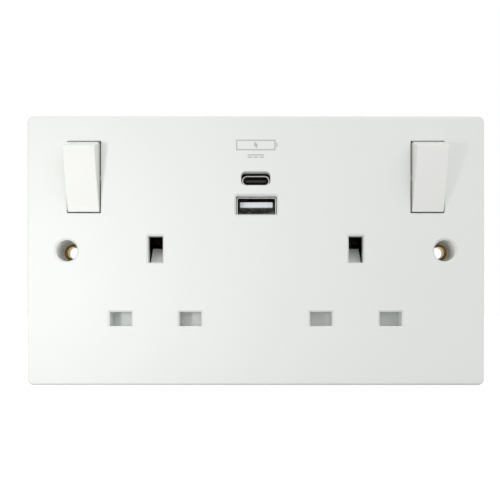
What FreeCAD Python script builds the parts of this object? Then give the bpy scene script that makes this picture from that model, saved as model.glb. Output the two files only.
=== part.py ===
import FreeCAD, Part
import math
import os
import re
import Sketcher

# Twin switched wall socket with two USB charging outlets.
# Frame: X to the right, Y into the wall, Z up, origin midway between the fixing holes on the wall plane.
# "Out" in names and comments is the distance from the wall towards the room, so out = -Y.

SIZES = [
    ("plate_margin", 6.7, "plate past the rear housing, above and below"),
    ("plate_depth", 9.5, "wall to front face"),
    ("plate_corner", 2, "corner radius seen from the front"),
    ("front_round", 1, "rounding of the front edge"),
    ("face_wall", 3.2, "thickness of the face"),
    ("rim_wall", 2.2, "thickness of the skirt"),
    ("rib_wall", 1.2, "inner ribs of the plate"),
    ("rib_lift", 1.5, "wall to the stiffening ribs"),
    ("fixing_beside", 8.325, "fixing hole past the side of the rear housing"),
    ("fixing_margin", 12.675, "fixing hole to the end of the plate"),
    ("tower_dia", 11, "moulded tower round a fixing hole"),
    ("fixing_dia", 6.8, "fixing hole, for the screw head"),
    ("fixing_chamfer", 0.6, "chamfer round the fixing hole"),
    ("tower_floor", 1.1, "floor that carries the eyelet"),
    ("eyelet_bore", 3.8, "hole for the fixing screw"),
    ("eyelet_wall", 0.6, "brass of the eyelet"),
    ("eyelet_lip", 6, "outside of the rolled lip"),
    ("eyelet_bead", 0.35, "rounding of the rolled lip"),
    ("strap_thick", 0.8, "earth strap"),
    ("strap_height", 8, "earth strap between the sockets"),
    ("lug_dia", 8.8, "strap round an eyelet"),
    ("strap_beside", 4.5, "strap past the earth pins, left and right"),
    ("strap_past", 3.5, "strap past the earth slots, above and below"),
    ("strap_knee", 1, "fold of the strap's leg past the terminals"),
    ("strap_leg_inset", 0.9, "strap's leg short of the outer terminals"),
    ("seat_gap", 0.1, "play between seated pieces"),
    ("socket_spacing", 64, "between the two sockets"),
    ("earth_height", 0.4, "centre of the earth slots"),
    ("pin_spacing", 22.23, "between line and neutral pins, and down from the earth pin"),
    ("pin_width", 6.35, "line and neutral pins"),
    ("pin_height", 4, "line and neutral pins"),
    ("pin_length", 17.7, "line and neutral pins"),
    ("earth_pin_width", 4, "earth pin"),
    ("earth_pin_height", 8, "earth pin"),
    ("earth_pin_length", 22.7, "earth pin"),
    ("slot_play", 0.68, "slot wider than the pin"),
    ("slot_rise", 0.45, "slot taller than the pin"),
    ("slot_chamfer", 0.55, "chamfer round every pin slot"),
    ("collar_depth", 2.4, "collar behind a line or neutral slot"),
    ("shutter_thick", 2.2, "shutter slab"),
    ("shutter_cover", 0.5, "slab past the edges of a slot"),
    ("shutter_travel", 5.8, "shutter slides down"),
    ("slide_gap", 0.2, "play round sliding pieces"),
    ("nose_width", 4.2, "ramp in the earth slot"),
    ("nose_top", 1.4, "top of the ramp"),
    ("nose_crest", 0.8, "flat crest of the ramp"),
    ("nose_bevel", 0.5, "broken edge before the crest"),
    ("nose_short", 0.3, "ramp short of the back of the face"),
    ("nose_notch", 0.5, "notch behind the ramp, above the foot of the earth slot"),
    ("root_drop", 5.4, "root of the ramp below the earth slot"),
    ("stem_width", 8, "neck between ramp and slab"),
    ("stem_lap", 1, "neck past the root of the ramp"),
    ("slab_corner", 0.6, "corners of the slab"),
    ("foot_height", 2.4, "foot that the shutter spring pushes on"),
    ("guide_past", 1, "shutter guides past the slab"),
    ("retainer_thick", 1, "plate that holds a shutter"),
    ("retainer_edge", 1.7, "retainer past its pegs"),
    ("retainer_drop", 3, "retainer below the slab"),
    ("peg_dia", 2, "peg of the retainer"),
    ("shutter_spring_dia", 3.4, "outside of the shutter spring"),
    ("shutter_wire", 0.4, "wire of the shutter spring"),
    ("switch_beside", 22.75, "centre of a rocker past the middle of its socket"),
    ("switch_height", 23.45, "centre of a rocker"),
    ("window_width", 10.8, "opening for a rocker"),
    ("window_height", 23, "opening for a rocker"),
    ("window_corner", 0.3, "corners of that opening"),
    ("rocker_play", 0.4, "gap at each side of a rocker"),
    ("rocker_end_play", 0.32, "gap at each end of a rocker"),
    ("rocker_tilt", 15.5, "degrees either side of the middle"),
    ("rocker_pivot", 7.6, "wall to the hinge of a rocker"),
    ("rocker_rise", 5.2, "hinge to the end edges of the face"),
    ("rocker_face", 20.4, "length of the face"),
    ("rocker_skirt", 2.2, "walls below the hinge"),
    ("rocker_wall", 1.3, "walls of a rocker"),
    ("rocker_edge", 0.35, "rounding round the face"),
    ("rocker_crown", 0.35, "swell of the face between its ends"),
    ("skirt_lean", 0.5, "ends lean in below the hinge"),
    ("hinge_edge", 0.3, "widest line of a rocker, out from the hinge"),
    ("trunnion_dia", 2, "stub axle of a rocker"),
    ("trunnion_play", 0.1, "play round a stub axle"),
    ("trunnion_end", 0.4, "stub axle short of its cheek's far side"),
    ("cheek_wall", 1.6, "bearing cheek"),
    ("cheek_depth", 2.4, "cheek behind the face"),
    ("post_dia", 5.4, "hollow post of a rocker"),
    ("post_length", 7.2, "post below the hinge"),
    ("plunger_dia", 3.2, "spring plunger"),
    ("plunger_reach", 10.3, "hinge to the tip of the plunger"),
    ("plunger_travel", 0.6, "plunger pushed into its post"),
    ("plunger_length", 6.4, "plunger from tip to tail"),
    ("plunger_wire", 0.4, "wire of the plunger spring"),
    ("contact_ratio", 0.6, "degrees of the contact for each degree of the rocker"),
    ("contact_gap", 0.15, "plunger to contact at mid swing"),
    ("contact_vee", 10, "degrees each arm leans out"),
    ("contact_arm", 7, "arm of the moving contact"),
    ("contact_width", 4.4, "moving contact"),
    ("contact_bead", 1.6, "bead that it rocks on"),
    ("tip_dia", 2.6, "contact tips"),
    ("tip_thick", 0.7, "contact tips"),
    ("tip_place", 6.2, "contact tip from the pivot"),
    ("metal", 0.8, "contact strip"),
    ("strip_width", 3, "live and neutral strips"),
    ("clip_width", 5.5, "pin contact"),
    ("clip_grip", 3.6, "opening of a pin contact before a plug spreads it"),
    ("clip_room", 1.4, "pin tip to the base of its contact"),
    ("clip_mouth", 1.2, "flare of a pin contact at its mouth"),
    ("clip_throat", 2.4, "mouth of a pin contact to its grip"),
    ("clip_flare", 0.4, "flare of a pin contact at its base"),
    ("leaf_height", 6.6, "earth contact leaf"),
    ("leaf_grip", 3.7, "opening between two earth leaves"),
    ("leaf_root", 1.9, "window in the strap past the sides of the earth pin"),
    ("leaf_past", 1.6, "window in the strap past the ends of the earth pin"),
    ("leaf_flare", 0.3, "tips of the leaves clear of the earth pin"),
    ("leaf_pinch", 0.62, "share of a leaf's length to where it grips"),
    ("leaf_short", 0.8, "leaves short of the tip of the earth pin"),
    ("housing_beside", 8.885, "rear housing past the outer pins"),
    ("housing_past", 3.85, "rear housing past the rocker openings at the side"),
    ("housing_over", 1.35, "rear housing above the rocker openings"),
    ("housing_under", 5.3, "rear housing below the terminals"),
    ("housing_step", 9, "where the housing widens"),
    ("housing_depth", 18.5, "wall to the back of the housing"),
    ("housing_wall", 1.6, "rear housing"),
    ("housing_corner", 2, "corners of the housing"),
    ("screw_dia", 2.6, "housing screw thread"),
    ("screw_head", 4.4, "housing screw head"),
    ("head_deep", 1.6, "housing screw head"),
    ("screw_length", 7.5, "housing screw below its head"),
    ("head_edge", 0.35, "broken edge of a screw head"),
    ("cross_long", 0.62, "arms of a cross recess, as a share of the head"),
    ("cross_wide", 0.17, "width of those arms, as a share of the head"),
    ("cross_deep", 1.2, "cross recess"),
    ("screw_floor", 2, "wall under a housing screw head"),
    ("boss_wall", 1.4, "round a housing screw"),
    ("post_wall", 0.9, "round the well of a housing screw"),
    ("side_screw_inset", 6.5, "middle screws from the side of the housing"),
    ("side_screw_drop", 8.4, "middle screws below the earth slots"),
    ("top_screw_beside", 10.1, "upper screws past the charger"),
    ("top_screw_inset", 8.3, "upper screws from the top of the housing"),
    ("terminal_pitch", 8.4, "between terminals"),
    ("terminal_width", 7.4, "terminal block"),
    ("terminal_height", 8, "terminal block"),
    ("terminal_deep", 8.6, "terminal block from front to back"),
    ("terminal_base", 31, "below the fixing holes to the foot of the terminals"),
    ("wire_bore", 4.4, "wire hole in a terminal"),
    ("wire_depth", 6.8, "wire hole in a terminal"),
    ("clamp_dia", 3.9, "clamp screw"),
    ("clamp_head", 5.2, "clamp screw head"),
    ("clamp_head_deep", 2, "clamp screw head"),
    ("clamp_length", 4.6, "clamp screw below its head"),
    ("terminal_edge", 0.5, "broken edges of a terminal"),
    ("pen_past", 1, "pen of a terminal past it"),
    ("mouth_round", 1.4, "corners of a wire mouth in the housing"),
    ("link_level", 7.5, "behind the wall plane to the switched strips"),
    ("link_beside", 6, "switched strip past the middle of its socket"),
    ("link_rise", 6.1, "turn of the switched strip above the pin slots"),
    ("link_seat_height", 14, "seat under a switched strip, above the fixing holes"),
    ("live_level", 13.4, "behind the wall plane to the live strip"),
    ("live_drop", 1.3, "live strip below the foot of the charger"),
    ("neutral_rise", 2.1, "neutral strip above the pin slots"),
    ("seat_height", 4, "seat under an upright strip or a contact"),
    ("stop_gap", 0.35, "stop behind the lower arm of a moving contact"),
    ("usb_a_x", 0.2, "charging outlet with the wide mouth"),
    ("usb_a_height", 14.5, "its centre"),
    ("usb_a_width", 12.8, "its shell"),
    ("usb_a_tall", 5.8, "its shell"),
    ("usb_a_inset", 2.6, "face to its shell"),
    ("shell_corner", 0.6, "corners of its shell"),
    ("mouth_corner", 0.5, "corners of its mouth in the plate"),
    ("block_deep", 3, "plastic block that carries its tongue"),
    ("tongue_rise", 0.75, "tongue above the middle of the outlet"),
    ("tongue_tall", 1.7, "its tongue"),
    ("tongue_side", 1.1, "tongue short of each side of the shell"),
    ("tongue_inset", 1.3, "mouth of the shell to the tongue"),
    ("pad_pitch", 2.4, "between its contacts"),
    ("pad_width", 1.1, "its contacts"),
    ("pad_thick", 0.24, "its contacts"),
    ("pad_inset", 2.4, "mouth of the shell to its contacts"),
    ("usb_c_height", 23, "centre of the oval outlet"),
    ("usb_c_width", 8.94, "its shell"),
    ("usb_c_tall", 3.3, "its shell"),
    ("usb_c_inset", 3.8, "face to its shell"),
    ("oval_corner", 1.5, "corners of its mouth in the plate"),
    ("oval_block", 6, "plastic block that carries its tongue"),
    ("oval_tongue_tall", 0.7, "its tongue"),
    ("oval_tongue_side", 1.15, "tongue short of each side of the shell"),
    ("oval_tongue_inset", 0.6, "mouth of the shell to the tongue"),
    ("usb_play", 0.15, "plate round the wide shell"),
    ("oval_width", 9.3, "mouth in the plate before the oval outlet"),
    ("oval_tall", 4.4, "mouth in the plate before the oval outlet"),
    ("shell_wall", 0.35, "outlet shells"),
    ("board_level", 6.6, "behind the wall plane to the circuit board"),
    ("board_thick", 1.6, "circuit board"),
    ("board_post", 3, "post that presses on the circuit board"),
    ("board_post_inset", 2.5, "that post from the edges of the board"),
    ("module_width", 33.8, "charger module"),
    ("module_height", 24.6, "charger module"),
    ("module_base", 9.7, "foot of the charger module"),
    ("module_depth", 24, "wall to the back of the charger module"),
    ("module_wall", 1.4, "case of the charger module"),
    ("module_round", 0.8, "rounding at the back of the case"),
    ("flange_past", 2.2, "flange of the case past its sides"),
    ("parts_beside", 6, "transformer and chip left of the middle of the board"),
    ("parts_drop", 8.2, "upper parts below the top of the charger"),
    ("bobbin_width", 12.4, "flange of the transformer's bobbin"),
    ("bobbin_height", 9.4, "flange of the transformer's bobbin"),
    ("bobbin_flange", 1.6, "flange of the transformer's bobbin"),
    ("winding_dia", 7.6, "winding of the transformer"),
    ("core_width", 11.4, "core of the transformer"),
    ("core_height", 8.4, "core of the transformer"),
    ("core_long", 8.2, "core of the transformer"),
    ("core_yoke", 2.2, "core of the transformer across its ends"),
    ("core_leg", 1.4, "core of the transformer at its sides"),
    ("can_beside", 8.4, "capacitors right of the middle of the board"),
    ("can_rise", 6.8, "lower capacitor above the foot of the charger"),
    ("can_dia", 7.4, "capacitors"),
    ("can_long", 11, "capacitors"),
    ("can_round", 0.6, "rim of a capacitor"),
    ("chip_rise", 5.6, "control chip above the foot of the charger"),
    ("chip_width", 6.2, "control chip"),
    ("chip_height", 4.6, "control chip"),
    ("chip_thick", 1.6, "control chip"),
    ("chip_lift", 0.15, "control chip above the board"),
    ("leg_pitch", 1.27, "between legs of the chip"),
    ("leg_width", 0.5, "legs of the chip"),
    ("leg_span", 7, "across the legs of the chip"),
    ("leg_thick", 0.4, "legs of the chip"),
]
NAMES = {name for name, _, _ in SIZES}

doc = FreeCAD.newDocument("WallSocket")
sheet = doc.addObject("Spreadsheet::Sheet", "Sizes")
for row, (name, value, note) in enumerate(SIZES, start=1):
    sheet.set(f"A{row}", name)
    sheet.set(f"B{row}", str(value))
    sheet.set(f"C{row}", note)
    sheet.setAlias(f"B{row}", name)
doc.recompute()

pieces = []


def cell(text):
    """Spells an expression with the sheet's name before each size."""
    return re.sub(r"[a-z]\w*", lambda word: "Sizes." + word[0] if word[0] in NAMES else word[0], str(text))


def size(text):
    """The value of an expression."""
    return float(sheet.evalExpression(cell(text)))


# Places that several pieces share
SWITCH_X = "(socket_spacing / 2 + switch_beside)"
HOUSING_LOW = "(socket_spacing / 2 + pin_spacing / 2 + housing_beside)"
HOUSING_WIDE = f"({SWITCH_X} + window_width / 2 + housing_past)"
HOUSING_TOP = "(switch_height + window_height / 2 + housing_over)"
HOUSING_FOOT = "(-terminal_base - housing_under)"
FIXING_X = f"({HOUSING_LOW} + fixing_beside)"
PLATE_SIDE = f"({FIXING_X} + fixing_margin)"
PLATE_TOP = f"({HOUSING_TOP} + plate_margin)"
PLATE_FOOT = f"({HOUSING_FOOT} - plate_margin)"
INNER = "(plate_depth - face_wall)"
STRAP_SEAT = "(strap_thick + seat_gap)"
TOWER_SHELF = "(strap_thick + seat_gap + tower_floor)"
PINS_HEIGHT = "(earth_height - pin_spacing)"
SLOT_WIDTH = "(pin_width + slot_play)"
SLOT_HEIGHT = "(pin_height + slot_rise)"
EARTH_SLOT_WIDTH = "(earth_pin_width + slot_play)"
EARTH_SLOT_HEIGHT = "(earth_pin_height + slot_rise)"
COLLAR_END = f"({INNER} - collar_depth)"
SLAB_FRONT = f"({COLLAR_END} - slide_gap)"
SLAB_BACK = f"({SLAB_FRONT} - shutter_thick)"
SLAB_TOP = f"({PINS_HEIGHT} + {SLOT_HEIGHT} / 2 + shutter_cover)"
SLAB_FOOT = f"({PINS_HEIGHT} - {SLOT_HEIGHT} / 2 - shutter_cover)"
SLAB_HALF = f"(pin_spacing / 2 + {SLOT_WIDTH} / 2 + shutter_cover)"
RETAINER_FRONT = f"({SLAB_BACK} - slide_gap)"
RETAINER_BACK = f"({RETAINER_FRONT} - retainer_thick)"
PEG_X = f"({SLAB_HALF} + slide_gap + rib_wall)"
PEG_HEIGHT = f"({SLAB_TOP} + peg_dia + rib_wall)"
SPRING_OUT = f"({SLAB_BACK} + shutter_spring_dia / 2)"
CLIP_BASE = "(pin_length - plate_depth + clip_room)"
NEUTRAL_LEVEL = f"({CLIP_BASE} + metal)"
HOUSING_FLOOR = "(housing_depth - housing_wall)"
CONTACT_FACE = "(plunger_reach + contact_gap - rocker_pivot)"
BEAD_LEVEL = f"({CONTACT_FACE} + metal)"
TIP_BACK = f"({CONTACT_FACE} + metal + tip_thick + seat_gap / 2)"
FIXED_PAD = f"({TIP_BACK} + tip_thick)"
TERMINAL_FRONT = "(live_level + metal - terminal_deep)"
WIRE_LEVEL = f"({TERMINAL_FRONT} + wire_bore / 2 + 1.5 * metal)"
BOARD_BACK = "(board_level + board_thick)"
LIVE_STRIP_TOP = "(module_base - live_drop)"
LIVE_STRIP_FOOT = f"({LIVE_STRIP_TOP} - strip_width)"
RISER_X = f"({SWITCH_X} - window_width / 2 - strip_width / 2)"
LINK_X = "(socket_spacing / 2 + link_beside)"
LINK_TURN = f"({PINS_HEIGHT} + {SLOT_HEIGHT} / 2 + link_rise)"
JAW_TOP = f"({PINS_HEIGHT} + clip_grip / 2 + 1.5 * metal)"
NEUTRAL_FOOT = f"({PINS_HEIGHT} + {SLOT_HEIGHT} / 2 + neutral_rise)"
LIVE_CREST = "(switch_height + tip_place + strip_width + metal)"
WELL = "(screw_head + 2 * slide_gap)"
POST = f"({WELL} + 2 * post_wall)"
# A round end keeps this much of a straight run between its two arcs
HAIR = "0.05"
SCREWS = [
    (f"({HOUSING_LOW} - {POST} / 2)", f"({HOUSING_FOOT} + {POST} / 2)"),
    (f"({HOUSING_LOW} - side_screw_inset)", "(earth_height - side_screw_drop)"),
    ("(module_width / 2 + top_screw_beside)", f"({HOUSING_TOP} - top_screw_inset)"),
]


# Drawing helpers
def new_body(label):
    body = doc.addObject("PartDesign::Body", "Body")
    body.Label = label
    pieces.append(body)
    return body


def sketch_on(body, role, level="0"):
    """A sketch on one of the body's own planes. On XZ_Plane the level is the distance out from the wall."""
    plane = next(item for item in body.Origin.OriginFeatures if item.Role == role)
    sketch = body.newObject("Sketcher::SketchObject", "Sketch")
    sketch.AttachmentSupport = [(plane, "")]
    sketch.MapMode = "FlatFace"
    sketch.setExpression("AttachmentOffset.Base.z", cell(level))
    return sketch


def bind(sketch, kind, geometry, point, text):
    place = sketch.addConstraint(Sketcher.Constraint(kind, -1, 1, geometry, point, size(text)))
    sketch.setExpression(f"Constraints[{place}]", cell(text))


def polygon(sketch, points, closed=True):
    """Straight runs through points given as pairs of expressions."""
    spots = [FreeCAD.Vector(size(x), size(y), 0) for x, y in points]
    runs = len(spots) if closed else len(spots) - 1
    first = sketch.GeometryCount
    sketch.addGeometry([Part.LineSegment(spots[i], spots[(i + 1) % len(spots)]) for i in range(runs)])
    for i in range(runs if closed else runs - 1):
        sketch.addConstraint(Sketcher.Constraint("Coincident", first + i, 2, first + (i + 1) % runs, 1))
    for i, (x, y) in enumerate(points):
        line, end = (first + i, 1) if i < runs else (first + i - 1, 2)
        bind(sketch, "DistanceX", line, end, x)
        bind(sketch, "DistanceY", line, end, y)


def outline(sketch, points, radius):
    """A closed outline of level and upright runs, counter-clockwise, with every corner rounded."""
    spots = [FreeCAD.Vector(size(x), size(y), 0) for x, y in points]
    bend = size(radius)
    count = len(spots)
    first = sketch.GeometryCount
    ways = [(spots[(i + 1) % count] - spots[i]).normalize() for i in range(count)]
    turns = [ways[i - 1].x * ways[i].y - ways[i - 1].y * ways[i].x for i in range(count)]
    lines = []
    arcs = []
    for i in range(count):
        lines.append(Part.LineSegment(spots[i] + ways[i] * bend, spots[(i + 1) % count] - ways[i] * bend))
        centre = spots[i] - ways[i - 1] * bend + ways[i] * bend
        begin = spots[i] - ways[i - 1] * bend - centre
        end = spots[i] + ways[i] * bend - centre
        angles = [math.atan2(begin.y, begin.x), math.atan2(end.y, end.x)]
        if turns[i] < 0:
            angles.reverse()
        arcs.append(Part.ArcOfCircle(Part.Circle(centre, FreeCAD.Vector(0, 0, 1), bend), *angles))
    sketch.addGeometry(lines + arcs)
    for i in range(count):
        level = abs(ways[i].y) < 0.5
        sketch.addConstraint(Sketcher.Constraint("Horizontal" if level else "Vertical", first + i))
        enter, leave = (1, 2) if turns[i] > 0 else (2, 1)
        arc = first + count + i
        sketch.addConstraint(Sketcher.Constraint("Tangent", first + (i - 1) % count, 2, arc, enter))
        sketch.addConstraint(Sketcher.Constraint("Tangent", first + i, 1, arc, leave))
        x, y = points[i]
        bind(sketch, "DistanceY" if level else "DistanceX", first + i, 1, y if level else x)
        place = sketch.addConstraint(Sketcher.Constraint("Radius", arc, bend))
        sketch.setExpression(f"Constraints[{place}]", cell(radius))


def rectangle(sketch, x, z, width, height, radius=None):
    left, right = f"({x}) - ({width}) / 2", f"({x}) + ({width}) / 2"
    foot, top = f"({z}) - ({height}) / 2", f"({z}) + ({height}) / 2"
    corners = [(left, foot), (right, foot), (right, top), (left, top)]
    if radius is None:
        polygon(sketch, corners)
    else:
        outline(sketch, corners, radius)


def disc(sketch, x, z, diameter):
    place = FreeCAD.Vector(size(x), size(z), 0)
    circle = sketch.addGeometry(Part.Circle(place, FreeCAD.Vector(0, 0, 1), size(diameter) / 2))
    bind(sketch, "DistanceX", circle, 3, x)
    bind(sketch, "DistanceY", circle, 3, z)
    across = sketch.addConstraint(Sketcher.Constraint("Diameter", circle, size(diameter)))
    sketch.setExpression(f"Constraints[{across}]", cell(diameter))


def pad(body, sketch, length, inward=False, middle=False):
    feature = body.newObject("PartDesign::Pad", "Pad")
    feature.Profile = sketch
    feature.setExpression("Length", cell(length))
    feature.Reversed = inward
    feature.Midplane = middle
    feature.Refine = False
    return feature


def pocket(body, sketch, length=None, outward=False, middle=False):
    feature = body.newObject("PartDesign::Pocket", "Pocket")
    feature.Profile = sketch
    if length is None:
        feature.Type = "ThroughAll"
    else:
        feature.setExpression("Length", cell(length))
    feature.Reversed = outward
    feature.Midplane = middle
    feature.Refine = False
    return feature


def edges_where(shape, test):
    return [f"Edge{i}" for i, edge in enumerate(shape.Edges, start=1) if test(edge)]


def on_level(edge, out):
    """True for an edge that lies wholly at this distance out from the wall."""
    box = edge.BoundBox
    return abs(box.YMin + out) < 1e-4 and abs(box.YMax + out) < 1e-4


def dress(body, kind, measure, test):
    """A fillet or chamfer on the edges of the body so far that pass the test."""
    doc.recompute()
    base = body.Tip
    names = edges_where(base.Shape, test)
    feature = body.newObject("PartDesign::" + kind, kind)
    feature.Base = (base, names)
    feature.Refine = False
    feature.setExpression("Radius" if kind == "Fillet" else "Size", cell(measure))
    return feature


def housing_outline(sketch, inset):
    """The outline of the rear housing, drawn in by an inset."""
    low = f"({HOUSING_LOW} - {inset})"
    wide = f"({HOUSING_WIDE} - {inset})"
    foot = f"({HOUSING_FOOT} + {inset})"
    top = f"({HOUSING_TOP} - {inset})"
    step = f"(housing_step + {inset})"
    corners = [(f"-{low}", foot), (low, foot), (low, step), (wide, step), (wide, top)]
    corners += [(f"-{wide}", top), (f"-{wide}", step), (f"-{low}", step)]
    outline(sketch, corners, "housing_corner / 2")


def place(piece, x="0", out="0", z="0"):
    piece.setExpression("Placement.Base.x", cell(x))
    piece.setExpression("Placement.Base.y", cell(f"-({out})"))
    piece.setExpression("Placement.Base.z", cell(z))


def turn(piece, axis, angle):
    """Turns a piece about its own origin by an angle from the sheet."""
    spin = FreeCAD.Rotation(FreeCAD.Vector(*axis), size(angle))
    piece.Placement = FreeCAD.Placement(FreeCAD.Vector(), spin)
    piece.setExpression("Placement.Rotation.Angle", cell(angle))


SIDES = [("left", -1), ("right", 1)]
TERMINAL_PLACES = (-1.5, -0.5, 0.5, 1.5)


def make_front_plate():
    body = new_body("front_plate")
    sketch = sketch_on(body, "XZ_Plane")
    middle = f"({PLATE_TOP} + {PLATE_FOOT}) / 2"
    tall = f"({PLATE_TOP} - {PLATE_FOOT})"
    rectangle(sketch, "0", middle, f"2 * {PLATE_SIDE}", tall, "plate_corner")
    pad(body, sketch, "plate_depth")
    dress(body, "Fillet", "front_round", lambda edge: on_level(edge, size("plate_depth")))

    sketch = sketch_on(body, "XZ_Plane", INNER)
    hollow_wide, hollow_tall = f"2 * ({PLATE_SIDE} - rim_wall)", f"{tall} - 2 * rim_wall"
    rectangle(sketch, "0", middle, hollow_wide, hollow_tall, "plate_corner / 2")
    pocket(body, sketch)

    sketch = sketch_on(body, "XZ_Plane", INNER)
    for _, side in SIDES:
        disc(sketch, f"{side} * {FIXING_X}", "0", "tower_dia")
    pad(body, sketch, INNER, inward=True)

    # A rib follows the edge of the rear housing and closes the gap between the two
    sketch = sketch_on(body, "XZ_Plane", INNER)
    housing_outline(sketch, "0")
    housing_outline(sketch, "rib_wall")
    pad(body, sketch, f"{INNER} - {STRAP_SEAT}", inward=True)

    # Stiffening ribs between that rib and the skirt
    sketch = sketch_on(body, "XZ_Plane", INNER)
    reach = "(plate_margin - rim_wall / 2 + rib_wall / 2)"
    shift = "(plate_margin / 2 - rim_wall / 4 - rib_wall / 4)"
    for x in (-0.7, -0.35, 0, 0.35, 0.7):
        for edge in (f"{HOUSING_FOOT} - {shift}", f"{HOUSING_TOP} + {shift}"):
            rectangle(sketch, f"{x} * {PLATE_SIDE}", edge, "rib_wall", reach)
    for wide, height in ((HOUSING_LOW, f"0.5 * {PLATE_FOOT}"), (HOUSING_WIDE, f"0.55 * {PLATE_TOP}")):
        reach = f"({PLATE_SIDE} - rim_wall / 2 - {wide} + rib_wall / 2)"
        middle = f"({PLATE_SIDE} / 2 - rim_wall / 4 + {wide} / 2 - rib_wall / 4)"
        for _, side in SIDES:
            rectangle(sketch, f"{side} * {middle}", height, reach, "rib_wall")
    pad(body, sketch, f"{INNER} - rib_lift", inward=True)

    # Collars behind the line and neutral slots
    sketch = sketch_on(body, "XZ_Plane", INNER)
    for _, side in SIDES:
        for pin in (-1, 1):
            x = f"{side} * socket_spacing / 2 + {pin} * pin_spacing / 2"
            rectangle(sketch, x, PINS_HEIGHT, f"{SLOT_WIDTH} + 2 * rib_wall", f"{SLOT_HEIGHT} + 2 * rib_wall")
    pad(body, sketch, "collar_depth", inward=True)

    # Guides at the ends of each shutter, and the pegs that carry its retainer
    sketch = sketch_on(body, "XZ_Plane", INNER)
    tall = f"{SLAB_TOP} - {SLAB_FOOT} + 2 * guide_past"
    for _, side in SIDES:
        for end in (-1, 1):
            x = f"{side} * socket_spacing / 2 + {end} * ({SLAB_HALF} + slide_gap + rib_wall / 2)"
            rectangle(sketch, x, f"({SLAB_TOP} + {SLAB_FOOT}) / 2", "rib_wall", tall)
    pad(body, sketch, f"{INNER} - {RETAINER_FRONT}", inward=True)
    for diameter, level in (("2 * peg_dia", RETAINER_FRONT), ("peg_dia", f"({RETAINER_BACK} - seat_gap)")):
        sketch = sketch_on(body, "XZ_Plane", INNER)
        for _, side in SIDES:
            for end in (-1, 1):
                disc(sketch, f"{side} * socket_spacing / 2 + {end} * {PEG_X}", PEG_HEIGHT, diameter)
        pad(body, sketch, f"{INNER} - {level}", inward=True)

    # Bosses for the housing screws
    sketch = sketch_on(body, "XZ_Plane", INNER)
    for _, side in SIDES:
        for x, z in SCREWS:
            disc(sketch, f"{side} * {x}", z, "screw_dia + 2 * boss_wall")
    pad(body, sketch, f"{INNER} - {STRAP_SEAT}", inward=True)
    sketch = sketch_on(body, "XZ_Plane", STRAP_SEAT)
    for _, side in SIDES:
        for x, z in SCREWS:
            disc(sketch, f"{side} * {x}", z, "screw_dia")
    pocket(body, sketch, f"{INNER} - {STRAP_SEAT} + face_wall / 4", outward=True)

    # Posts that press on the circuit board of the charger
    sketch = sketch_on(body, "XZ_Plane", INNER)
    for _, side in SIDES:
        for z in ("(module_base + board_post_inset)", "(module_base + module_height - board_post_inset)"):
            disc(sketch, f"{side} * (module_width / 2 - board_post_inset)", z, "board_post")
    pad(body, sketch, f"{INNER} + board_level - seat_gap", inward=True)

    # Bearing cheeks beside each rocker
    sketch = sketch_on(body, "XZ_Plane", INNER)
    for _, side in SIDES:
        for cheek in (-1, 1):
            x = f"{side} * {SWITCH_X} + {cheek} * (window_width + cheek_wall) / 2"
            rectangle(sketch, x, "switch_height", "cheek_wall", "3 * trunnion_dia")
    pad(body, sketch, "cheek_depth", inward=True)

    # Openings through the face
    sketch = sketch_on(body, "XZ_Plane", "plate_depth")
    for _, side in SIDES:
        middle = f"{side} * socket_spacing / 2"
        rectangle(sketch, middle, "earth_height", EARTH_SLOT_WIDTH, EARTH_SLOT_HEIGHT)
        for pin in (-1, 1):
            rectangle(sketch, f"{middle} + {pin} * pin_spacing / 2", PINS_HEIGHT, SLOT_WIDTH, SLOT_HEIGHT)
    wide, tall = "usb_a_width + 2 * usb_play", "usb_a_tall + 2 * usb_play"
    rectangle(sketch, "usb_a_x", "usb_a_height", wide, tall, "mouth_corner")
    rectangle(sketch, "0", "usb_c_height", "oval_width", "oval_tall", "oval_corner")
    for _, side in SIDES:
        middle = f"{side} * {SWITCH_X}"
        rectangle(sketch, middle, "switch_height", "window_width", "window_height", "window_corner")
    pocket(body, sketch)
    sketch = sketch_on(body, "XZ_Plane", "plate_depth")
    for _, side in SIDES:
        disc(sketch, f"{side} * {FIXING_X}", "0", "fixing_dia")
    pocket(body, sketch, f"plate_depth - {TOWER_SHELF}")
    sketch = sketch_on(body, "XZ_Plane", "plate_depth")
    for _, side in SIDES:
        disc(sketch, f"{side} * {FIXING_X}", "0", "eyelet_bore + 2 * eyelet_wall + seat_gap")
    pocket(body, sketch)

    # Notches for the stub axles, open to the back
    for _, side in SIDES:
        sketch = sketch_on(body, "YZ_Plane", f"{side} * {SWITCH_X}")
        play = "(trunnion_dia / 2 + trunnion_play)"
        near, behind = f"(rocker_pivot + {play})", f"({INNER} - cheek_depth - 2 * {play})"
        long = f"{near} - {behind}"
        midway = f"-({near} + {behind}) / 2"
        rectangle(sketch, midway, "switch_height", long, f"2 * {play}", f"{play} - {HAIR}")
        pocket(body, sketch, "window_width + 2 * cheek_wall - trunnion_end", middle=True)

    # Seat of the earth strap
    sketch = sketch_on(body, "XZ_Plane", STRAP_SEAT)
    rectangle(sketch, "0", "0", f"2 * {FIXING_X}", "strap_height + 2 * seat_gap")
    pocket(body, sketch)
    sketch = sketch_on(body, "XZ_Plane", STRAP_SEAT)
    for _, side in SIDES:
        disc(sketch, f"{side} * {FIXING_X}", "0", "lug_dia + 2 * seat_gap")
    pocket(body, sketch)

    # Broken edges at the front of every opening
    front = size("plate_depth")
    socket = size("socket_spacing / 2")
    reach = size(f"{SLAB_HALF}")
    switch = size(f"{SWITCH_X} - window_width / 2") - 0.5
    top = size("earth_height + earth_pin_height / 2 + slot_rise") + 0.5

    def at_slot(edge):
        spot = edge.CenterOfMass
        beside = abs(abs(spot.x) - socket) < reach
        return on_level(edge, front) and beside and -3 * front < spot.z < top

    def at_fixing(edge):
        spot = edge.CenterOfMass
        return on_level(edge, front) and abs(spot.z) < 0.01 and abs(spot.x) > socket + reach

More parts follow.
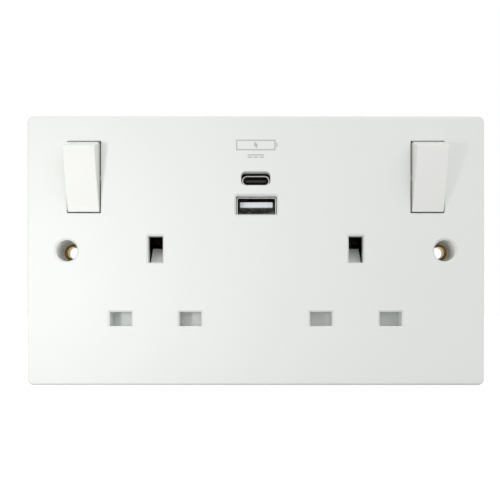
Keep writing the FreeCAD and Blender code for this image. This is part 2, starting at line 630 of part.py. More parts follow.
    def at_switch(edge):
        spot = edge.CenterOfMass
        inside = abs(spot.x) < size(f"{PLATE_SIDE} - front_round") - 0.1
        return on_level(edge, front) and inside and abs(spot.x) > switch and spot.z > top

    def at_outlet(edge):
        spot = edge.CenterOfMass
        inside = abs(spot.x) < socket / 2 and 0 < spot.z < size(f"{PLATE_TOP} - rim_wall")
        return on_level(edge, front) and inside

    dress(body, "Chamfer", "slot_chamfer", at_slot)
    dress(body, "Chamfer", "fixing_chamfer", at_fixing)
    between = size("usb_a_height + usb_a_tall")
    dress(body, "Chamfer", "slot_chamfer", lambda edge: at_outlet(edge) and edge.CenterOfMass.z < between)
    dress(body, "Chamfer", "slot_chamfer / 3", lambda edge: at_outlet(edge) and edge.CenterOfMass.z > between)
    dress(body, "Chamfer", "slot_chamfer / 3", at_switch)


def make_eyelet(label, side):
    """A brass eyelet: barrel through the tower floor and the strap, with a lip under the screw head."""
    body = new_body(label)
    sketch = sketch_on(body, "XY_Plane")
    inner, outer = "eyelet_bore / 2", "(eyelet_bore / 2 + eyelet_wall)"
    shelf = TOWER_SHELF
    lip = "eyelet_lip / 2"
    low, high = f"-({shelf} + eyelet_bead)", f"-({shelf} + eyelet_wall)"
    points = [(inner, "0"), (outer, "0"), (outer, f"-{shelf}"), (lip, f"-{shelf}"), (lip, low)]
    points += [(f"{lip} - eyelet_bead / 2", high), (f"{lip} - eyelet_bead", high)]
    points += [(f"({inner} + {lip}) / 2", low), (f"{inner} + eyelet_bead", high), (inner, low)]
    polygon(sketch, points)
    spun = body.newObject("PartDesign::Revolution", "Revolution")
    spun.Profile = sketch
    spun.ReferenceAxis = (sketch, ["V_Axis"])
    spun.Angle = 360
    place(body, f"{side} * {FIXING_X}")


def make_earth_strap():
    body = new_body("earth_strap")
    sketch = sketch_on(body, "XZ_Plane")
    rectangle(sketch, "0", "0", f"2 * {FIXING_X}", "strap_height")
    pad(body, sketch, "strap_thick")
    sketch = sketch_on(body, "XZ_Plane")
    for _, side in SIDES:
        disc(sketch, f"{side} * {FIXING_X}", "0", "lug_dia")
        middle = f"{side} * socket_spacing / 2"
        wide, tall = "earth_pin_width + 2 * strap_beside", f"{EARTH_SLOT_HEIGHT} + 2 * strap_past"
        rectangle(sketch, middle, "earth_height", wide, tall)
    pad(body, sketch, "strap_thick")

    # Folded leg that reaches back to the two earth terminals
    sketch = sketch_on(body, "YZ_Plane")
    knee = "(-terminal_base + terminal_height + strap_knee)"
    back = TERMINAL_FRONT
    points = [("0", "0"), ("-strap_thick", "0"), ("-strap_thick", f"{knee} - strap_thick")]
    points += [(f"{back} - strap_thick", f"{knee} - strap_thick")]
    toe = "(-terminal_base + strap_knee)"
    points += [(f"{back} - strap_thick", toe), (back, toe)]
    points += [(back, knee), ("0", knee)]
    polygon(sketch, points)
    pad(body, sketch, "2 * (terminal_pitch - strap_leg_inset)", middle=True)

    # Windows for the earth pins, and four leaves that grip them
    half = "leaf_grip / 2"
    sketch = sketch_on(body, "XZ_Plane", "strap_thick")
    for _, side in SIDES:
        middle = f"{side} * socket_spacing / 2"
        wide, tall = "earth_pin_width + 2 * leaf_root", "earth_pin_height + 2 * leaf_past"
        rectangle(sketch, middle, "earth_height", wide, tall)
        disc(sketch, f"{side} * {FIXING_X}", "0", "eyelet_bore + 2 * eyelet_wall + seat_gap")
    pocket(body, sketch)
    for _, side in SIDES:
        sketch = sketch_on(body, "XY_Plane", "earth_height")
        for leaf in (-1, 1):
            def at(offset):
                return f"{side} * socket_spacing / 2 + {leaf} * ({offset})"
            root, tip = "(earth_pin_width / 2 + leaf_root)", "(earth_pin_width / 2 + leaf_flare)"
            deep = "(earth_pin_length - plate_depth - leaf_short)"
            pinch = f"leaf_pinch * {deep}"
            ways = [(root, "0"), (f"{root} + metal", "0"), (f"{half} + metal", pinch)]
            ways += [(f"{tip} + metal", deep), (tip, deep), (half, pinch)]
            polygon(sketch, [(at(x), y) for x, y in ways])
        pad(body, sketch, "leaf_height", middle=True)


def make_shutter(label, side):
    """The shutter covers both pin slots, and its ramp stands in the earth slot above."""
    body = new_body(label)
    sketch = sketch_on(body, "XZ_Plane", SLAB_BACK)
    middle = f"(({SLAB_TOP} + {SLAB_FOOT}) / 2)"
    rectangle(sketch, "0", middle, f"2 * {SLAB_HALF}", f"{SLAB_TOP} - {SLAB_FOOT}", "slab_corner")
    pad(body, sketch, "shutter_thick")
    slot_foot = f"(earth_height - {EARTH_SLOT_HEIGHT} / 2)"
    root = f"({slot_foot} - root_drop)"
    sketch = sketch_on(body, "XZ_Plane", SLAB_BACK)
    crown = f"({root} + stem_lap)"
    rectangle(sketch, "0", f"({middle} + {crown}) / 2", "stem_width", f"{crown} - {middle}")
    pad(body, sketch, "shutter_thick")
    sketch = sketch_on(body, "YZ_Plane")
    front = f"-({INNER} - nose_short)"
    behind = f"-({STRAP_SEAT} + slide_gap / 2)"
    points = [(f"-{SLAB_BACK}", root), (front, root), (front, f"{slot_foot} - seat_gap")]
    points += [(f"{behind} - nose_crest - nose_bevel", "nose_top - nose_bevel")]
    points += [(f"{behind} - nose_crest", "nose_top"), (behind, "nose_top")]
    points += [(behind, f"{slot_foot} + nose_notch"), (f"-{SLAB_BACK}", f"{slot_foot} + nose_notch")]
    polygon(sketch, points)
    pad(body, sketch, "nose_width", middle=True)
    # Foot that the spring pushes on
    sketch = sketch_on(body, "XZ_Plane", SLAB_BACK)
    wide = "shutter_spring_dia + 2 * shutter_cover"
    rectangle(sketch, "0", f"{SLAB_FOOT} + foot_height / 2", wide, "foot_height")
    pad(body, sketch, "shutter_spring_dia")
    place(body, f"{side} * socket_spacing / 2")


def make_retainer(label, side):
    body = new_body(label)
    sketch = sketch_on(body, "XZ_Plane", RETAINER_BACK)
    foot = f"({SLAB_FOOT} - retainer_drop)"
    top = f"({PEG_HEIGHT} + peg_dia / 2 + retainer_edge)"
    wide, tall = f"2 * ({PEG_X} + retainer_edge)", f"{top} - {foot}"
    rectangle(sketch, "0", f"({foot} + {top}) / 2", wide, tall, "peg_dia / 2")
    wide, tall = f"{SLOT_WIDTH} + 2 * slide_gap", f"{SLOT_HEIGHT} + 2 * slide_gap"
    for pin in (-1, 1):
        rectangle(sketch, f"{pin} * pin_spacing / 2", PINS_HEIGHT, wide, tall, "slab_corner")
        disc(sketch, f"{pin} * {PEG_X}", PEG_HEIGHT, "peg_dia + 2 * seat_gap")
    pad(body, sketch, "retainer_thick")
    place(body, f"{side} * socket_spacing / 2")


def make_spring(label, coil, wire, length, turns):
    """A closed-wire compression spring along its own Z axis."""
    helix = doc.addObject("Part::Helix", "Helix")
    helix.setExpression("Radius", cell(f"({coil} - {wire}) / 2"))
    helix.setExpression("Height", cell(f"{length} - {wire}"))
    helix.setExpression("Pitch", cell(f"({length} - {wire}) / {turns}"))
    helix.setExpression("Placement.Base.z", cell(f"{wire} / 2"))
    ring = doc.addObject("Part::Circle", "Circle")
    ring.setExpression("Radius", cell(f"{wire} / 2"))
    ring.Placement = FreeCAD.Placement(FreeCAD.Vector(), FreeCAD.Rotation(FreeCAD.Vector(1, 0, 0), 90))
    ring.setExpression("Placement.Base.x", cell(f"({coil} - {wire}) / 2"))
    ring.setExpression("Placement.Base.z", cell(f"{wire} / 2"))
    doc.recompute()
    spring = doc.addObject("Part::Sweep", "Spring")
    spring.Sections = [ring]
    spring.Spine = (helix, [])
    spring.Solid = True
    spring.Frenet = True
    spring.Label = label
    pieces.append(spring)
    return spring


def make_rocker(label, side):
    """A moulded rocker, open at the back, drawn level about its hinge and then tipped to ON."""
    body = new_body(label)
    half_width = "(window_width / 2 - rocker_play)"
    edge = "rocker_face / 2"
    end = "(window_height / 2 - rocker_end_play)"

    def profile(sketch, inset, skirt):
        """Side view: swelled face, ends that lean out to the hinge, straight skirt. Out is -Y."""
        x = f"({edge} - {inset})"
        rise = f"(rocker_rise - {inset})"
        spots = [(skirt, f"-({end} - {inset} - skirt_lean)"), (skirt, f"{end} - {inset} - skirt_lean")]
        spots += [("-hinge_edge", f"{end} - {inset}"), (f"-{rise}", x), (f"-{rise}", f"-{x}")]
        spots += [("-hinge_edge", f"-({end} - {inset})")]
        points = [FreeCAD.Vector(size(a), size(b), 0) for a, b in spots]
        top = FreeCAD.Vector(size(f"-({rise} + rocker_crown)"), 0, 0)
        first = sketch.GeometryCount
        shapes = [Part.LineSegment(points[i], points[i + 1]) for i in range(3)]
        shapes += [Part.Arc(points[3], top, points[4])]
        shapes += [Part.LineSegment(points[4], points[5]), Part.LineSegment(points[5], points[0])]
        sketch.addGeometry(shapes)
        arc = sketch.Geometry[first + 3]
        swapped = arc.StartPoint.sub(points[3]).Length > 1e-6
        start, stop = (2, 1) if swapped else (1, 2)
        joins = [(0, 2, 1, 1), (1, 2, 2, 1), (2, 2, 3, start), (3, stop, 4, 1), (4, 2, 5, 1), (5, 2, 0, 1)]
        for a, b, c, d in joins:
            sketch.addConstraint(Sketcher.Constraint("Coincident", first + a, b, first + c, d))
        corners = [(0, 1, 0), (1, 1, 1), (2, 1, 2), (4, 1, 4), (5, 1, 5)]
        for line, point, spot in corners:
            bind(sketch, "DistanceX", first + line, point, spots[spot][0])
            bind(sketch, "DistanceY", first + line, point, spots[spot][1])
        bind(sketch, "DistanceX", first + 2, 2, spots[3][0])
        bind(sketch, "DistanceY", first + 2, 2, spots[3][1])
        radius = f"({x} * {x} + rocker_crown * rocker_crown) / (2 * rocker_crown)"
        bend = sketch.addConstraint(Sketcher.Constraint("Radius", first + 3, size(radius)))
        sketch.setExpression(f"Constraints[{bend}]", cell(radius))

    sketch = sketch_on(body, "YZ_Plane")
    profile(sketch, "0", "rocker_skirt")
    pad(body, sketch, f"2 * {half_width}", middle=True)
    doc.recompute()
    face = size("rocker_rise") - 0.01

    def round_the_face(edge):
        box = edge.BoundBox
        return -box.YMin > face and (box.XLength < 1e-4 or -box.YMax > face)

    dress(body, "Fillet", "rocker_edge", round_the_face)
    sketch = sketch_on(body, "YZ_Plane")
    profile(sketch, "rocker_wall", "(rocker_skirt + rocker_wall)")
    pocket(body, sketch, f"2 * ({half_width} - rocker_wall)", middle=True)
    sketch = sketch_on(body, "YZ_Plane")
    disc(sketch, "0", "0", "trunnion_dia")
    pad(body, sketch, "window_width + 2 * cheek_wall - 2 * trunnion_end", middle=True)
    # Cross web with the hollow post for the spring and plunger
    sketch = sketch_on(body, "XZ_Plane", "rocker_rise - rocker_wall")
    disc(sketch, "0", "0", "post_dia")
    pad(body, sketch, "rocker_rise - rocker_wall + post_length", inward=True)
    sketch = sketch_on(body, "XZ_Plane", "rocker_rise - rocker_wall")
    for rib in (-1, 0, 1):
        height = f"{rib} * (rocker_face / 4 + rocker_wall / 2)"
        rectangle(sketch, "0", height, f"2 * {half_width} - rocker_wall", "rocker_wall")
    pad(body, sketch, "rocker_rise - rocker_wall", inward=True)
    sketch = sketch_on(body, "XZ_Plane", "-post_length")
    disc(sketch, "0", "0", "plunger_dia + 2 * seat_gap")
    pocket(body, sketch, "post_length + rocker_rise - 2 * rocker_wall", outward=True)
    turn(body, (1, 0, 0), "rocker_tilt")
    place(body, f"{side} * {SWITCH_X}", "rocker_pivot", "switch_height")


def make_plunger(label, side):
    body = new_body(label)
    sketch = sketch_on(body, "XZ_Plane", "plunger_dia / 2 - plunger_reach")
    disc(sketch, "0", "0", "plunger_dia")
    pad(body, sketch, "plunger_length - plunger_dia / 2")
    # Rounded tip
    sketch = sketch_on(body, "XY_Plane")
    radius = size("plunger_dia / 2")
    centre = size("plunger_reach - plunger_dia / 2")
    top = FreeCAD.Vector(0, centre, 0)
    tip = FreeCAD.Vector(0, centre + radius, 0)
    side_spot = FreeCAD.Vector(radius, centre, 0)
    arc = Part.ArcOfCircle(Part.Circle(top, FreeCAD.Vector(0, 0, 1), radius), 0, math.pi / 2)
    sketch.addGeometry([Part.LineSegment(top, side_spot), arc, Part.LineSegment(tip, top)])
    for a, b, c, d in ((0, 2, 1, 1), (1, 2, 2, 1), (2, 2, 0, 1)):
        sketch.addConstraint(Sketcher.Constraint("Coincident", a, b, c, d))
    sketch.addConstraint(Sketcher.Constraint("Coincident", 0, 1, 1, 3))
    bind(sketch, "DistanceX", 0, 1, "0")
    bind(sketch, "DistanceY", 0, 1, "plunger_reach - plunger_dia / 2")
    bind(sketch, "DistanceX", 0, 2, "plunger_dia / 2")
    bind(sketch, "DistanceY", 0, 2, "plunger_reach - plunger_dia / 2")
    bind(sketch, "DistanceX", 2, 1, "0")
    spun = body.newObject("PartDesign::Revolution", "Revolution")
    spun.Profile = sketch
    spun.ReferenceAxis = (sketch, ["V_Axis"])
    spun.Angle = 360
    turn(body, (1, 0, 0), "rocker_tilt")
    place(body, f"{side} * {SWITCH_X}", "rocker_pivot", "switch_height")


def make_moving_contact(label, side):
    """A see-saw of brass strip with a bead to rock on and a silver tip under its upper arm."""
    body = new_body(label)
    sketch = sketch_on(body, "YZ_Plane")
    lean = "sin(contact_vee) / cos(contact_vee)"
    raised = f"-contact_arm * {lean}"
    spots = [("0", "0"), (raised, "contact_arm"), (f"{raised} - metal", "contact_arm")]
    spots += [("-metal", "0"), (f"{raised} - metal", "-contact_arm"), (raised, "-contact_arm")]
    polygon(sketch, spots)
    pad(body, sketch, "contact_width", middle=True)
    sketch = sketch_on(body, "YZ_Plane")
    disc(sketch, "0", "0", "contact_bead")
    pad(body, sketch, "contact_width", middle=True)
    sketch = sketch_on(body, "XZ_Plane", "metal / 2")
    spin = FreeCAD.Rotation(FreeCAD.Vector(1, 0, 0), size("contact_vee"))
    sketch.AttachmentOffset = FreeCAD.Placement(FreeCAD.Vector(0, 0, size("metal / 2")), spin)
    sketch.setExpression("AttachmentOffset.Rotation.Angle", cell("contact_vee"))
    disc(sketch, "0", "tip_place", "tip_dia")
    pad(body, sketch, "tip_thick + metal / 2", inward=True)
    turn(body, (-1, 0, 0), "rocker_tilt * contact_ratio")
    place(body, f"{side} * {SWITCH_X}", f"-{BEAD_LEVEL}", "switch_height")


def make_live_link(label, side):
    """Switched strip from the pivot of a switch to the line contact of its socket."""
    body = new_body(label)
    sketch = sketch_on(body, "XZ_Plane", "-link_level - metal")
    pin = f"({side} * socket_spacing / 2 + pin_spacing / 2)"
    half = "strip_width / 2"

    def x(text):
        return f"{side} * ({text})"

    # Pin to the turn, across, up and out to the switch
    inner, outer = f"({LINK_X} - {half})", f"({LINK_X} + {half})"
    low, high = f"({LINK_TURN} - {half})", f"({LINK_TURN} + {half})"
    far = f"({SWITCH_X} + contact_width / 2)"
    base, top = f"(switch_height - {half})", f"(switch_height + {half})"
    spots = [(f"{pin} - {half}", JAW_TOP), (f"{pin} + {half}", JAW_TOP)]
    if side > 0:
        spots += [(f"{pin} + {half}", high), (x(outer), high), (x(outer), base), (x(far), base)]
        spots += [(x(far), top), (x(inner), top), (x(inner), low), (f"{pin} - {half}", low)]
    else:
        spots += [(f"{pin} + {half}", high), (x(inner), high), (x(inner), top), (x(far), top), (x(far), base)]
        spots += [(x(outer), base), (x(outer), low), (f"{pin} - {half}", low)]
    polygon(sketch, spots)
    pad(body, sketch, "metal")
    # Pivot post, with a groove for the bead of the moving contact
    post = f"(link_level - {BEAD_LEVEL} - contact_bead / 4)"
    sketch = sketch_on(body, "XZ_Plane", "-link_level")
    wide, tall = "contact_width - metal", "contact_bead + 2 * metal"
    rectangle(sketch, f"{side} * {SWITCH_X}", "switch_height", wide, tall)
    pad(body, sketch, post)
    sketch = sketch_on(body, "YZ_Plane", f"{side} * {SWITCH_X}")
    disc(sketch, BEAD_LEVEL, "switch_height", "contact_bead + 2 * seat_gap")
    pocket(body, sketch, "contact_width", middle=True)


def make_live_bar():
    """One strip feeds both switches from the live terminal and rises to a fixed contact under each."""
    body = new_body("live_bar")
    sketch = sketch_on(body, "XZ_Plane", "-live_level - metal")
    half = "strip_width / 2"
    outer, inner = f"({RISER_X} + {half})", f"({RISER_X} - {half})"
    far = f"({SWITCH_X} + contact_width / 2)"
    crest = LIVE_CREST
    under = f"({crest} - strip_width)"
    tab, tab_foot = "(1.5 * terminal_pitch)", "(-terminal_base + terminal_height)"
    foot, top = LIVE_STRIP_FOOT, LIVE_STRIP_TOP
    spots = [(f"-{outer}", foot), (f"{tab} - {half}", foot), (f"{tab} - {half}", tab_foot)]
    spots += [(f"{tab} + {half}", tab_foot), (f"{tab} + {half}", foot)]
    riser = [(outer, foot), (outer, under), (far, under), (far, crest), (inner, crest), (inner, top)]
    spots += riser + [(f"-{x}", z) for x, z in reversed(riser[1:])]
    polygon(sketch, spots)
    pad(body, sketch, "metal")
    for _, side in SIDES:
        sketch = sketch_on(body, "YZ_Plane", f"{side} * {SWITCH_X}")
        back, pad_level = "(live_level + metal)", FIXED_PAD
        pad_foot = "(switch_height + tip_place - tip_dia / 2 - metal / 2)"
        points = [(back, f"{crest} - metal"), (f"{pad_level} + metal", f"{crest} - metal")]
        points += [(f"{pad_level} + metal", pad_foot), (pad_level, pad_foot)]
        points += [(pad_level, crest), (back, crest)]
        polygon(sketch, points)
        pad(body, sketch, "contact_width", middle=True)


def make_fixed_tip(label, side):
    """The silver rivet head on the live strip that the moving contact's tip meets."""
    body = new_body(label)
    sketch = sketch_on(body, "XZ_Plane", f"-{FIXED_PAD}")
    disc(sketch, "0", "0", "tip_dia")
    pad(body, sketch, "tip_thick")
    dress(body, "Chamfer", "tip_thick / 4", lambda edge: on_level(edge, -size(TIP_BACK)))
    place(body, f"{side} * {SWITCH_X}", "0", "switch_height + tip_place")


def make_pin_contact(label, x):
    """A folded clip that grips a line or neutral pin from above and below."""
    path = doc.addObject("Sketcher::SketchObject", "ClipPath")
    path.Placement = FreeCAD.Placement(FreeCAD.Vector(), FreeCAD.Rotation(FreeCAD.Vector(1, 1, 1), 120))
    grip, base = "clip_grip / 2", CLIP_BASE
    mouth = f"(-({RETAINER_BACK}) + seat_gap + metal / 2)"
    spots = [(mouth, f"{grip} + clip_mouth"), (f"{mouth} + clip_throat", grip)]
    spots += [(base, f"{grip} + clip_flare")]
    spots += [(across, f"-({up})") for across, up in reversed(spots)]
    polygon(path, spots, closed=False)
    strip = doc.addObject("Part::Offset2D", "ClipStrip")
    strip.Source = path
    strip.Mode = "Skin"
    strip.Join = "Arc"
    strip.Fill = True
    strip.setExpression("Value", cell("metal"))
    clip = doc.addObject("Part::Extrusion", "Clip")
    clip.Base = strip
    clip.DirMode = "Normal"
    clip.setExpression("LengthFwd", cell("clip_width / 2"))
    clip.setExpression("LengthRev", cell("clip_width / 2"))
    clip.Solid = True
    clip.Label = label
    pieces.append(clip)
    place(clip, x, "0", PINS_HEIGHT)


def make_neutral_bar():
    body = new_body("neutral_bar")
    sketch = sketch_on(body, "XZ_Plane", f"-{NEUTRAL_LEVEL} - metal")
    half = "strip_width / 2"
    foot, top = NEUTRAL_FOOT, f"({NEUTRAL_FOOT} + strip_width)"
    left = "(-socket_spacing / 2 - pin_spacing / 2)"
    right = "(socket_spacing / 2 - pin_spacing / 2)"
    tab = "(-1.5 * terminal_pitch)"
    tab_foot = "(-terminal_base + terminal_height)"
    clip_foot = f"({PINS_HEIGHT} - clip_grip / 2 - clip_flare)"
    feed = "(-module_width / 4)"
    feed_top = LIVE_STRIP_TOP
    spots = [(f"{left} - {half}", clip_foot), (f"{left} + {half}", clip_foot), (f"{left} + {half}", foot)]
    spots += [(f"{tab} - {half}", foot), (f"{tab} - {half}", tab_foot)]
    spots += [(f"{tab} + {half}", tab_foot), (f"{tab} + {half}", foot)]
    spots += [(f"{right} - {half}", foot), (f"{right} - {half}", clip_foot), (f"{right} + {half}", clip_foot)]
    spots += [(f"{right} + {half}", top), (f"{feed} + {half}", top), (f"{feed} + {half}", feed_top)]
    spots += [(f"{feed} - {half}", feed_top), (f"{feed} - {half}", top), (f"{left} - {half}", top)]
    polygon(sketch, spots)
    pad(body, sketch, "metal")


def make_terminal(label, x):
    body = new_body(label)
    sketch = sketch_on(body, "XZ_Plane", f"-{TERMINAL_FRONT} - terminal_deep")
    rectangle(sketch, "0", "-terminal_base + terminal_height / 2", "terminal_width", "terminal_height")
    pad(body, sketch, "terminal_deep")
    dress(body, "Chamfer", "terminal_edge", lambda edge: edge.BoundBox.YLength > 1)
    sketch = sketch_on(body, "XY_Plane", "-terminal_base")
    disc(sketch, "0", WIRE_LEVEL, "wire_bore")
    pocket(body, sketch, "wire_depth", outward=True)
    sketch = sketch_on(body, "XZ_Plane", f"-{WIRE_LEVEL}")
    disc(sketch, "0", "-terminal_base + wire_depth / 2", "clamp_dia + 2 * seat_gap")
    pocket(body, sketch)
    place(body, x)


def make_screw(label, head, deep, thread, length):
    """A screw along the out direction, its head at the back and a cross recess in it, drawn once."""
    body = new_body(label)
    sketch = sketch_on(body, "XY_Plane")
    points = [("0", "0"), (f"{head} / 2 - head_edge", "0"), (f"{head} / 2", "-head_edge")]
    points += [(f"{head} / 2", f"-{deep}")]
    tip = f"-({deep} + {length})"
    points += [(f"{thread} / 2", f"-{deep}"), (f"{thread} / 2", f"{tip} + {thread} / 2")]
    points += [(f"{thread} / 8", tip), ("0", tip)]
    polygon(sketch, points)
    spun = body.newObject("PartDesign::Revolution", "Revolution")
    spun.Profile = sketch
    spun.ReferenceAxis = (sketch, ["V_Axis"])
    spun.Angle = 360
    for wide, tall in (("cross_long", "cross_wide"), ("cross_wide", "cross_long")):
        sketch = sketch_on(body, "XZ_Plane")
        rectangle(sketch, "0", "0", f"{head} * {wide}", f"{head} * {tall}")
        pocket(body, sketch, "cross_deep", outward=True)
    pieces.remove(body)
    return body


def repeat(label, source, spots):
    """Copies of one screw, kept together in one piece."""
    copies = []
    for x, out, z in spots:
        link = doc.addObject("Part::Feature", "Copy")
        link.Shape = source.Shape
        place(link, x, out, z)
        copies.append(link)
    group = doc.addObject("Part::Compound", "Group")
    group.Links = copies
    group.Label = label
    pieces.append(group)


def make_screws():
    fixing = make_screw("housing_screw", "screw_head", "head_deep", "(screw_dia - seat_gap)", "screw_length")
    clamp = make_screw("terminal_screw", "clamp_head", "clamp_head_deep", "clamp_dia", "clamp_length")
    doc.recompute()
    under = f"({STRAP_SEAT} - screw_floor - seat_gap - head_deep)"
    repeat("housing_screws", fixing, [(f"{side} * {x}", under, z) for _, side in SIDES for x, z in SCREWS])
    height = "-terminal_base + wire_depth / 2"
    depth = f"(-{WIRE_LEVEL} - wire_bore / 2 - seat_gap - clamp_head_deep - clamp_length)"
    spots = [(f"{share} * terminal_pitch", depth, height) for share in TERMINAL_PLACES]
    repeat("terminal_screws", clamp, spots)


def make_rear_housing():
    body = new_body("rear_housing")
    sketch = sketch_on(body, "XZ_Plane", "-housing_depth")
    housing_outline(sketch, "0")
    pad(body, sketch, "housing_depth + strap_thick")
    dress(body, "Fillet", "housing_corner / 2", lambda edge: on_level(edge, -size("housing_depth")))
    sketch = sketch_on(body, "XZ_Plane", "strap_thick")
    housing_outline(sketch, "housing_wall")
    pocket(body, sketch, f"strap_thick + {HOUSING_FLOOR}")

    # Screw posts, with a well for each head
    sketch = sketch_on(body, "XZ_Plane", f"-{HOUSING_FLOOR}")
    for _, side in SIDES:
        for x, z in SCREWS:
            disc(sketch, f"{side} * {x}", z, POST)
    pad(body, sketch, f"{HOUSING_FLOOR} + strap_thick")
    sketch = sketch_on(body, "XZ_Plane", "-housing_depth")
    for _, side in SIDES:
        for x, z in SCREWS:
            disc(sketch, f"{side} * {x}", z, WELL)
    pocket(body, sketch, "housing_depth + strap_thick - screw_floor", outward=True)
    sketch = sketch_on(body, "XZ_Plane", "strap_thick")
    for _, side in SIDES:
        for x, z in SCREWS:
            disc(sketch, f"{side} * {x}", z, "screw_dia + 3 * seat_gap")
    pocket(body, sketch)

    # Seats under the strips and contacts, each as high as what it carries
    pins = [f"{side} * socket_spacing / 2 + {pin} * pin_spacing / 2" for _, side in SIDES for pin in (-1, 1)]
    neutral_pins, live_pins = pins[0::2], pins[1::2]
    link_seat = ("link_seat_height", "strip_width", "seat_height")
    link_seats = [(f"{side} * {LINK_X}", *link_seat) for _, side in SIDES]
    low, high = f"{LIVE_STRIP_TOP} - strip_width / 2", f"{LIVE_CREST} - strip_width / 2"
    live_seats = [(f"{side} * {SWITCH_X}", high, "strip_width", "strip_width") for _, side in SIDES]
    for share in (-0.8, -0.4, 0.4, 0.8):
        live_seats.append((f"{share} * {RISER_X}", low, "strip_width", "strip_width"))
    neutral_seats = [(x, PINS_HEIGHT, "strip_width", "seat_height") for x in neutral_pins]
    between = f"{NEUTRAL_FOOT} + strip_width / 2"
    neutral_seats += [("-socket_spacing / 3", between, "strip_width", "strip_width")]
    live_clip_seats = [(x, PINS_HEIGHT, "clip_width", "seat_height") for x in live_pins]
    link_end = ("switch_height", "contact_width", "strip_width")
    link_ends = [(f"{side} * {SWITCH_X}", *link_end) for _, side in SIDES]
    stop = "switch_height - contact_arm + metal"
    stops = [(f"{side} * {SWITCH_X}", stop, "contact_width", "rib_wall") for _, side in SIDES]
    seats = [
        ("link_level + metal", link_seats + link_ends),
        ("live_level + metal", live_seats),
        (f"{NEUTRAL_LEVEL} + metal", neutral_seats),
        (NEUTRAL_LEVEL, live_clip_seats),
        (f"{CONTACT_FACE} + metal + stop_gap", stops),
    ]
    for level, spots in seats:
        sketch = sketch_on(body, "XZ_Plane", f"-{HOUSING_FLOOR}")
        for x, z, width, height in spots:
            rectangle(sketch, x, z, width, height)
        pad(body, sketch, f"{HOUSING_FLOOR} - ({level})")
    # Pens round the terminal blocks
    sketch = sketch_on(body, "XZ_Plane", f"-{HOUSING_FLOOR}")
    for edge in (-2, -1, 0, 1, 2):
        wall = "(terminal_pitch - terminal_width - 2 * seat_gap)"
        middle = "-terminal_base + terminal_height / 2 - pen_past"
        rectangle(sketch, f"{edge} * terminal_pitch", middle, wall, "terminal_height + 2 * pen_past")
    pad(body, sketch, f"{HOUSING_FLOOR} - {TERMINAL_FRONT} - 2 * pen_past")

    # Openings: charger window, clamp screws, wire mouths, strap notches
    sketch = sketch_on(body, "XZ_Plane", f"-{HOUSING_FLOOR}")
    middle = "module_base + module_height / 2"
    wide, tall = "module_width + 2 * slide_gap", "module_height + 2 * slide_gap"
    rectangle(sketch, "0", middle, wide, tall, "housing_corner / 2")
    way_in = "clamp_head + 4 * slide_gap"
    for share in TERMINAL_PLACES:
        disc(sketch, f"{share} * terminal_pitch", "-terminal_base + wire_depth / 2", way_in)
    pocket(body, sketch)
    sketch = sketch_on(body, "XY_Plane", HOUSING_FOOT)
    mouth = "wire_bore + housing_wall"
    for share in TERMINAL_PLACES:
        rectangle(sketch, f"{share} * terminal_pitch", WIRE_LEVEL, mouth, mouth, "mouth_round")
    pocket(body, sketch, "housing_wall + slide_gap", outward=True)
    sketch = sketch_on(body, "XZ_Plane", "strap_thick")
    rectangle(sketch, "0", "0", f"2 * ({HOUSING_LOW} + housing_wall)", "strap_height + 4 * seat_gap")
    pocket(body, sketch, "strap_thick + seat_gap")


def make_charger_case():
    body = new_body("charger_case")
    sketch = sketch_on(body, "XZ_Plane", "-module_depth")
    middle = "module_base + module_height / 2"
    rectangle(sketch, "0", middle, "module_width", "module_height", "housing_corner / 2")
    pad(body, sketch, f"module_depth - {BOARD_BACK}")
    dress(body, "Fillet", "module_round", lambda edge: on_level(edge, -size("module_depth")))
    sketch = sketch_on(body, "XZ_Plane", f"-{BOARD_BACK}")
    wide, tall = "module_width - 2 * module_wall", "module_height - 2 * module_wall"
    rectangle(sketch, "0", middle, wide, tall, "housing_corner / 4")
    pocket(body, sketch, f"module_depth - {BOARD_BACK} - module_wall")
    sketch = sketch_on(body, "XZ_Plane", f"-{HOUSING_FLOOR}")
    for _, side in SIDES:
        x = f"{side} * (module_width / 2 + flange_past / 2 - module_wall / 2)"
        rectangle(sketch, x, middle, "flange_past + module_wall", "module_height / 2")
    pad(body, sketch, "module_wall")


def make_circuit_board():
    body = new_body("circuit_board")
    sketch = sketch_on(body, "XZ_Plane", f"-{BOARD_BACK}")
    half, tail = "module_width / 2", "(module_width / 4 + strip_width)"
    top, foot = "(module_base + module_height)", f"({LIVE_STRIP_FOOT} - metal / 2)"
    spots = [(f"-{tail}", foot), (tail, foot), (tail, "module_base"), (half, "module_base"), (half, top)]
    spots += [(f"-{half}", top), (f"-{half}", "module_base"), (f"-{tail}", "module_base")]
    polygon(sketch, spots)
    pad(body, sketch, "board_thick")


def make_feed_pins():
    """Two pins that carry the mains from the strips to the charger's board."""
    pins = []
    height = f"({LIVE_STRIP_TOP} - strip_width / 2)"
    for side, level in ((1, "live_level"), (-1, NEUTRAL_LEVEL)):
        pin = doc.addObject("Part::Cylinder", "Pin")
        pin.setExpression("Radius", cell("metal"))
        pin.setExpression("Height", cell(f"{level} - {BOARD_BACK}"))
        pin.Placement = FreeCAD.Placement(FreeCAD.Vector(), FreeCAD.Rotation(FreeCAD.Vector(1, 0, 0), 90))
        place(pin, f"{side} * module_width / 4", f"-({level})", height)
        pins.append(pin)
    group = doc.addObject("Part::Compound", "Group")
    group.Links = pins
    group.Label = "feed_pins"
    pieces.append(group)


